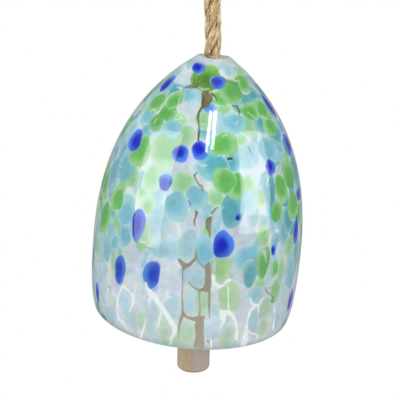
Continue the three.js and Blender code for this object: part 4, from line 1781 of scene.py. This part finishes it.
@dataclass
class Clapper:
    """The wooden dowel and the twine that it hangs on."""

    low: Vector
    high: Vector
    twine_top: float
    twine_bottom: float
    pivot: Vector
    chamfer: float = 1.7 * MM
    chamfer_steps: int = 3
    hole_d: float = 3.2 * MM
    hole_depth: float = 16 * MM
    twine_d: float = 2.6 * MM
    sides: int = 72
    sharp: float = 35  # degrees at which an edge stays sharp
    swing_half: float = 4.5 * MM
    slack: float = 1e-5  # how exactly a corner has to lie at an end
    faces_up: float = 0.9  # a face whose normal rises more than this looks up
    rim_share: float = 0.98  # a corner this far out, in radii, is on the rim

    @property
    def axis(self) -> Vector:
        """A point on the dowel's middle line, at its foot."""
        return Vector(((self.low.x + self.high.x) / 2, (self.low.y + self.high.y) / 2, self.low.z))

    def build_dowel(self) -> Piece:
        """Model the dowel: a bevelled stick with a blind hole for the twine in its upper end.

        Returns:
            The dowel, in its place.
        """
        length = self.high.z - self.low.z
        radius = (self.high.x - self.low.x) / 2
        middle = self.axis + Vector((0, 0, length / 2))
        Bench.clear()
        bpy.ops.mesh.primitive_cylinder_add(vertices=self.sides, radius=radius, depth=length, location=middle)
        piece = Bench.take("dowel")
        bpy.ops.object.transform_apply(location=True, rotation=True, scale=True)
        top = self.high.z - self.slack
        foot = self.low.z + self.slack
        Bench.pick(piece, "FACE", lambda face: face.center.z > top and face.normal.z > self.faces_up)
        bpy.ops.mesh.inset(thickness=radius - self.hole_d / 2)
        bpy.ops.mesh.extrude_region_move(TRANSFORM_OT_translate={"value": (0, 0, -self.hole_depth)})
        bpy.ops.object.mode_set(mode="OBJECT")

        def on_rim(edge: bpy.types.MeshEdge) -> bool:
            """Judge an edge of the dowel.

            Args:
                edge: the edge.

            Returns:
                Whether it runs round one of the two ends.
            """
            start, end = (piece.data.vertices[index].co for index in edge.vertices)
            level = abs(start.z - end.z) < self.slack and (start.z > top or start.z < foot)
            reach = min((Vector(p.xy) - Vector(self.axis.xy)).length for p in (start, end))
            return level and reach > self.rim_share * radius

        Bench.pick(piece, "EDGE", on_rim)
        bpy.ops.mesh.bevel(offset=self.chamfer, segments=self.chamfer_steps, profile=0.5, affect="EDGES")
        bpy.ops.object.mode_set(mode="OBJECT")
        Bench.smooth(piece, self.sharp)
        return piece

    def build(self, wood: Material, twine: Material) -> list[Piece]:
        """Model the clapper, dress it and join its dowel to the frame.

        Args:
            wood: the dowel's material.
            twine: the twine's material.

        Returns:
            The pieces.
        """
        dowel = self.build_dowel()
        dowel.data.materials.append(wood)
        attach(dowel, "clapper")
        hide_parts("clapper_dowel")
        x, y = self.pivot.x, self.pivot.y
        top, bottom = (x, y, self.twine_top), (x, y, self.twine_bottom)
        cord = LaidCord(np.array((top, bottom)), ((0, self.twine_d), (1, self.twine_d)),
                        Lay(turn=3.2, yarns=3, sides=10, step=0.6 * MM, groove=0.12))
        line = cord.build("clapper_line", 0, cord.length, hairs=60, seed=6)
        line.data.materials.append(twine)
        above, below = (self.pivot + Vector((0, 0, side * self.swing_half)) for side in (1, -1))
        tuple(above)
        tuple(below)
        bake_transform(line)
        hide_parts("twine_root", "clapper_twine")
        tuple(top)
        cord.length
        LOG.info("clapper line %.0f mm", cord.length / MM)
        return [dowel, line]


@dataclass(frozen=True)
class Softbox:
    """A rectangular lamp that faces the bell."""

    name: str
    azimuth: float  # degrees from the front, positive to the right
    elevation: float
    distance: float
    wide: float
    tall: float
    radiance: float
    roll: float = 0.0
    lights: bool = True
    mirrored: bool = True

    def build(self, target: Vector) -> None:
        """Set the lamp up.

        Args:
            target: the point that it faces.
        """
        data = bpy.data.lights.new(self.name, "AREA")
        data.shape = "RECTANGLE"
        data.size, data.size_y = self.wide, self.tall
        data.energy = self.radiance * self.wide * self.tall * math.pi
        lamp = bpy.data.objects.new(self.name, data)
        away = direction(self.azimuth, self.elevation)
        lamp.location = target + away * self.distance
        facing = away.to_track_quat("Z", "Y").to_matrix() @ Matrix.Rotation(math.radians(self.roll), 3, "Z")
        lamp.rotation_euler = facing.to_euler()
        lamp.visible_camera = False
        lamp.visible_transmission = False
        lamp.visible_diffuse = self.lights
        lamp.visible_glossy = self.mirrored
        bpy.context.scene.collection.objects.link(lamp)


@dataclass(frozen=True)
class Card:
    """A card with four corners that only reflections show: a bright panel or a dark screen."""

    name: str
    distance: float
    corners: tuple[Flat, ...]  # azimuth from the front and elevation of each, in degrees
    radiance: float

    def build(self, target: Vector) -> None:
        """Set the card up.

        Args:
            target: the point that its corners are seen from.
        """
        places = [target + direction(*corner) * self.distance for corner in self.corners]
        card = Bench.from_arrays(self.name, np.array(places), [[0, 1, 2, 3]])
        material, board = Board.for_material(self.name)
        board.finish(board.shader("Emission", {"Strength": self.radiance}))
        card.data.materials.append(material)
        card.visible_camera = False
        card.visible_diffuse = False
        card.visible_transmission = False
        card.visible_shadow = False


@dataclass
class Studio:
    """The white studio: floor, world, lamps, cards and camera."""

    aim: Vector = field(default_factory=lambda: Vector((0.43, 0, -208.1)) * MM)
    elevation: float = math.radians(20.16)
    roll: float = math.radians(1.46)
    distance: float = 1031 * MM
    focal_px: float = 1731.0
    image_px: int = 400
    aim_right_px: float = 2.45
    aim_up_px: float = 15.2
    sensor_mm: float = 36
    floor_height: float = -0.9
    floor_size: float = 14.0
    floor_tone: Colour = (0.86, 0.86, 0.86)
    white: Colour = (1, 1, 1)
    ambient: float = 0.96
    screen_radiance: float = 0.3
    screen_middles: tuple[float, ...] = (-130, -78, -26, 26, 78, 130, 180)
    screen_half: float = 26.5  # degrees to each side of its middle
    screen_parts: tuple[tuple[str, float, float, float], ...] = (
        ("high", 1.75, 66, -21), ("low", 0.8, -20, -55),
    )  # name, distance, and elevation of the top and the bottom
    softboxes: tuple[Softbox, ...] = (
        Softbox("key_left", -52, 30, 1.3, 0.9, 0.9, 4.8, mirrored=False),
        Softbox("key_right", 50, 30, 1.3, 0.9, 0.9, 4.2, mirrored=False),
        Softbox("strip_inner", 5.3, 48.5, 1.1, 0.075, 0.475, 16.0, -9, lights=False),
        Softbox("strip_outer", 15.4, 48.7, 1.1, 0.08, 0.44, 16.0, -16.5, lights=False),
    )
    cards: tuple[Card, ...] = (
        Card("panel_left", 1.1, ((-91.5, 29), (-39.5, 44.5), (-40.5, -11.5), (-71, -11)), 3.8),
        Card("core_left", 0.85, ((-81, 19), (-41, 29), (-40, 6), (-74, 1)), 4.9),
        Card("panel_right", 1.1, ((53, 39.5), (95.5, 24), (79, -12), (41.5, -8)), 3.6),
        Card("core_right", 0.85, ((47, 21.5), (86, 10.5), (79, -7), (43, 0)), 5.5),
    )

    def build_camera(self) -> None:
        """Put the camera where the photograph was taken from."""
        data = bpy.data.cameras.new("camera")
        data.sensor_width = self.sensor_mm
        data.lens = data.sensor_width * self.focal_px / self.image_px
        data.clip_end = 100
        right = Vector((1, 0, 0))
        ahead = Vector((0, math.cos(self.elevation), -math.sin(self.elevation)))
        up = Vector((0, math.sin(self.elevation), math.cos(self.elevation)))
        place = self.aim - ahead * self.distance
        image_right = right * math.cos(self.roll) + up * math.sin(self.roll)
        image_up = up * math.cos(self.roll) - right * math.sin(self.roll)
        centre = ahead - (image_right * self.aim_right_px + image_up * self.aim_up_px) / self.focal_px
        centre.normalize()
        image_right = (image_right - centre * image_right.dot(centre)).normalized()
        image_up = image_right.cross(centre)
        camera = bpy.data.objects.new("camera", data)
        facing = Matrix((image_right, image_up, -centre)).transposed().to_4x4()
        camera.matrix_world = Matrix.Translation(place) @ facing
        bpy.context.scene.collection.objects.link(camera)
        bpy.context.scene.camera = camera

    def seen_directly(self, board: Board) -> Socket:
        """Tell rays that see the background from rays that only light the object.

        Args:
            board: the node tree that the answer is wired in.

        Returns:
            1 for camera, mirrored and refracted rays, and 0 for the others.
        """
        path = board.add("ShaderNodeLightPath").outputs
        seen = board.sum("MAXIMUM", path["Is Camera Ray"], path["Is Transmission Ray"])
        return board.sum("MAXIMUM", seen, path["Is Glossy Ray"])

    def build_floor(self) -> None:
        """Lay the pale floor far below the bell, which shows from above only."""
        Bench.clear()
        bpy.ops.mesh.primitive_plane_add(size=self.floor_size, location=(0, 0, self.floor_height))
        floor = Bench.take("floor")
        bpy.ops.object.transform_apply(location=True, rotation=True, scale=True)
        material, board = Board.for_material("pale_floor")
        matt = board.shader("BsdfDiffuse", {"Color": opaque(self.floor_tone)})
        pale = board.mix(self.seen_directly(board), matt, board.shader("Emission"))
        below = board.add("ShaderNodeNewGeometry").outputs["Backfacing"]
        board.finish(board.mix(below, pale, board.shader("BsdfTransparent")))
        floor.data.materials.append(material)
        Bench.clear()

    def build_world(self) -> None:
        """Make the world white to look at, and a soft light for the object."""
        world = bpy.data.worlds.new("studio")
        world.use_nodes = True
        bpy.context.scene.world = world
        board = Board(world.node_tree)
        white = board.shader("Background", {"Color": opaque(self.white)})
        soft = board.shader("Background", {"Color": opaque(self.white), "Strength": self.ambient})
        board.finish(board.mix(self.seen_directly(board), soft, white), "World")

    def screens(self) -> list[Card]:
        """Plan a dark screen all round the bell.

        Returns:
            The cards of the screen.
        """
        cards = []
        for number, middle in enumerate(self.screen_middles):
            left, right = middle - self.screen_half, middle + self.screen_half
            for part, distance, top, bottom in self.screen_parts:
                corners = ((left, top), (right, top), (right, bottom), (left, bottom))
                cards.append(Card(f"screen_{part}_{number}", distance, corners, self.screen_radiance))
        return cards

    def build(self) -> None:
        """Set up the whole studio."""
        bpy.context.scene.view_settings.view_transform = "Standard"
        self.build_camera()
        self.build_floor()
        self.build_world()
        for light in (*self.softboxes, *self.cards, *self.screens()):
            light.build(self.aim)


def joint_named(frame: dict, name: str) -> dict:
    """Find a joint of the frame by its name."""
    return next(joint for joint in frame["joints"] if joint["name"] == name)


def main() -> None:
    """Build every piece in the frame, and the studio round it."""
    logging.basicConfig(level=logging.INFO, format="%(message)s")
    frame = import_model()
    Studio().build()

    turn = joint_named(frame, "bell_turn")
    bell = GlassBell(Vector(turn["pos_m"]), Vector(turn["axis"]))
    group = fibre_group()
    jute, twine = JUTE.material(group), TWINE.material(group)

    _, root_high = (Vector(corner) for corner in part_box("twine_root"))
    line_low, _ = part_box("clapper_twine")
    pivot = Vector(joint_named(frame, "clapper_swing")["pos_m"])
    tail_gap = 0.6 * MM
    tail = Vector((pivot.x, pivot.y, root_high.z + tail_gap))
    pieces = HangingRope(bell, tail).build(jute, twine)

    dowel_low, dowel_high = (Vector(corner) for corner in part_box("clapper_dowel"))
    clapper = Clapper(dowel_low, dowel_high, root_high.z, line_low[2], pivot)
    pieces += clapper.build(WoodFinish().material(clapper.axis), twine)
    pieces += bell.build()
    for piece in pieces:
        LOG.info("%s: %d faces", piece.name, len(piece.data.polygons))


if __name__ == "__main__":
    main()
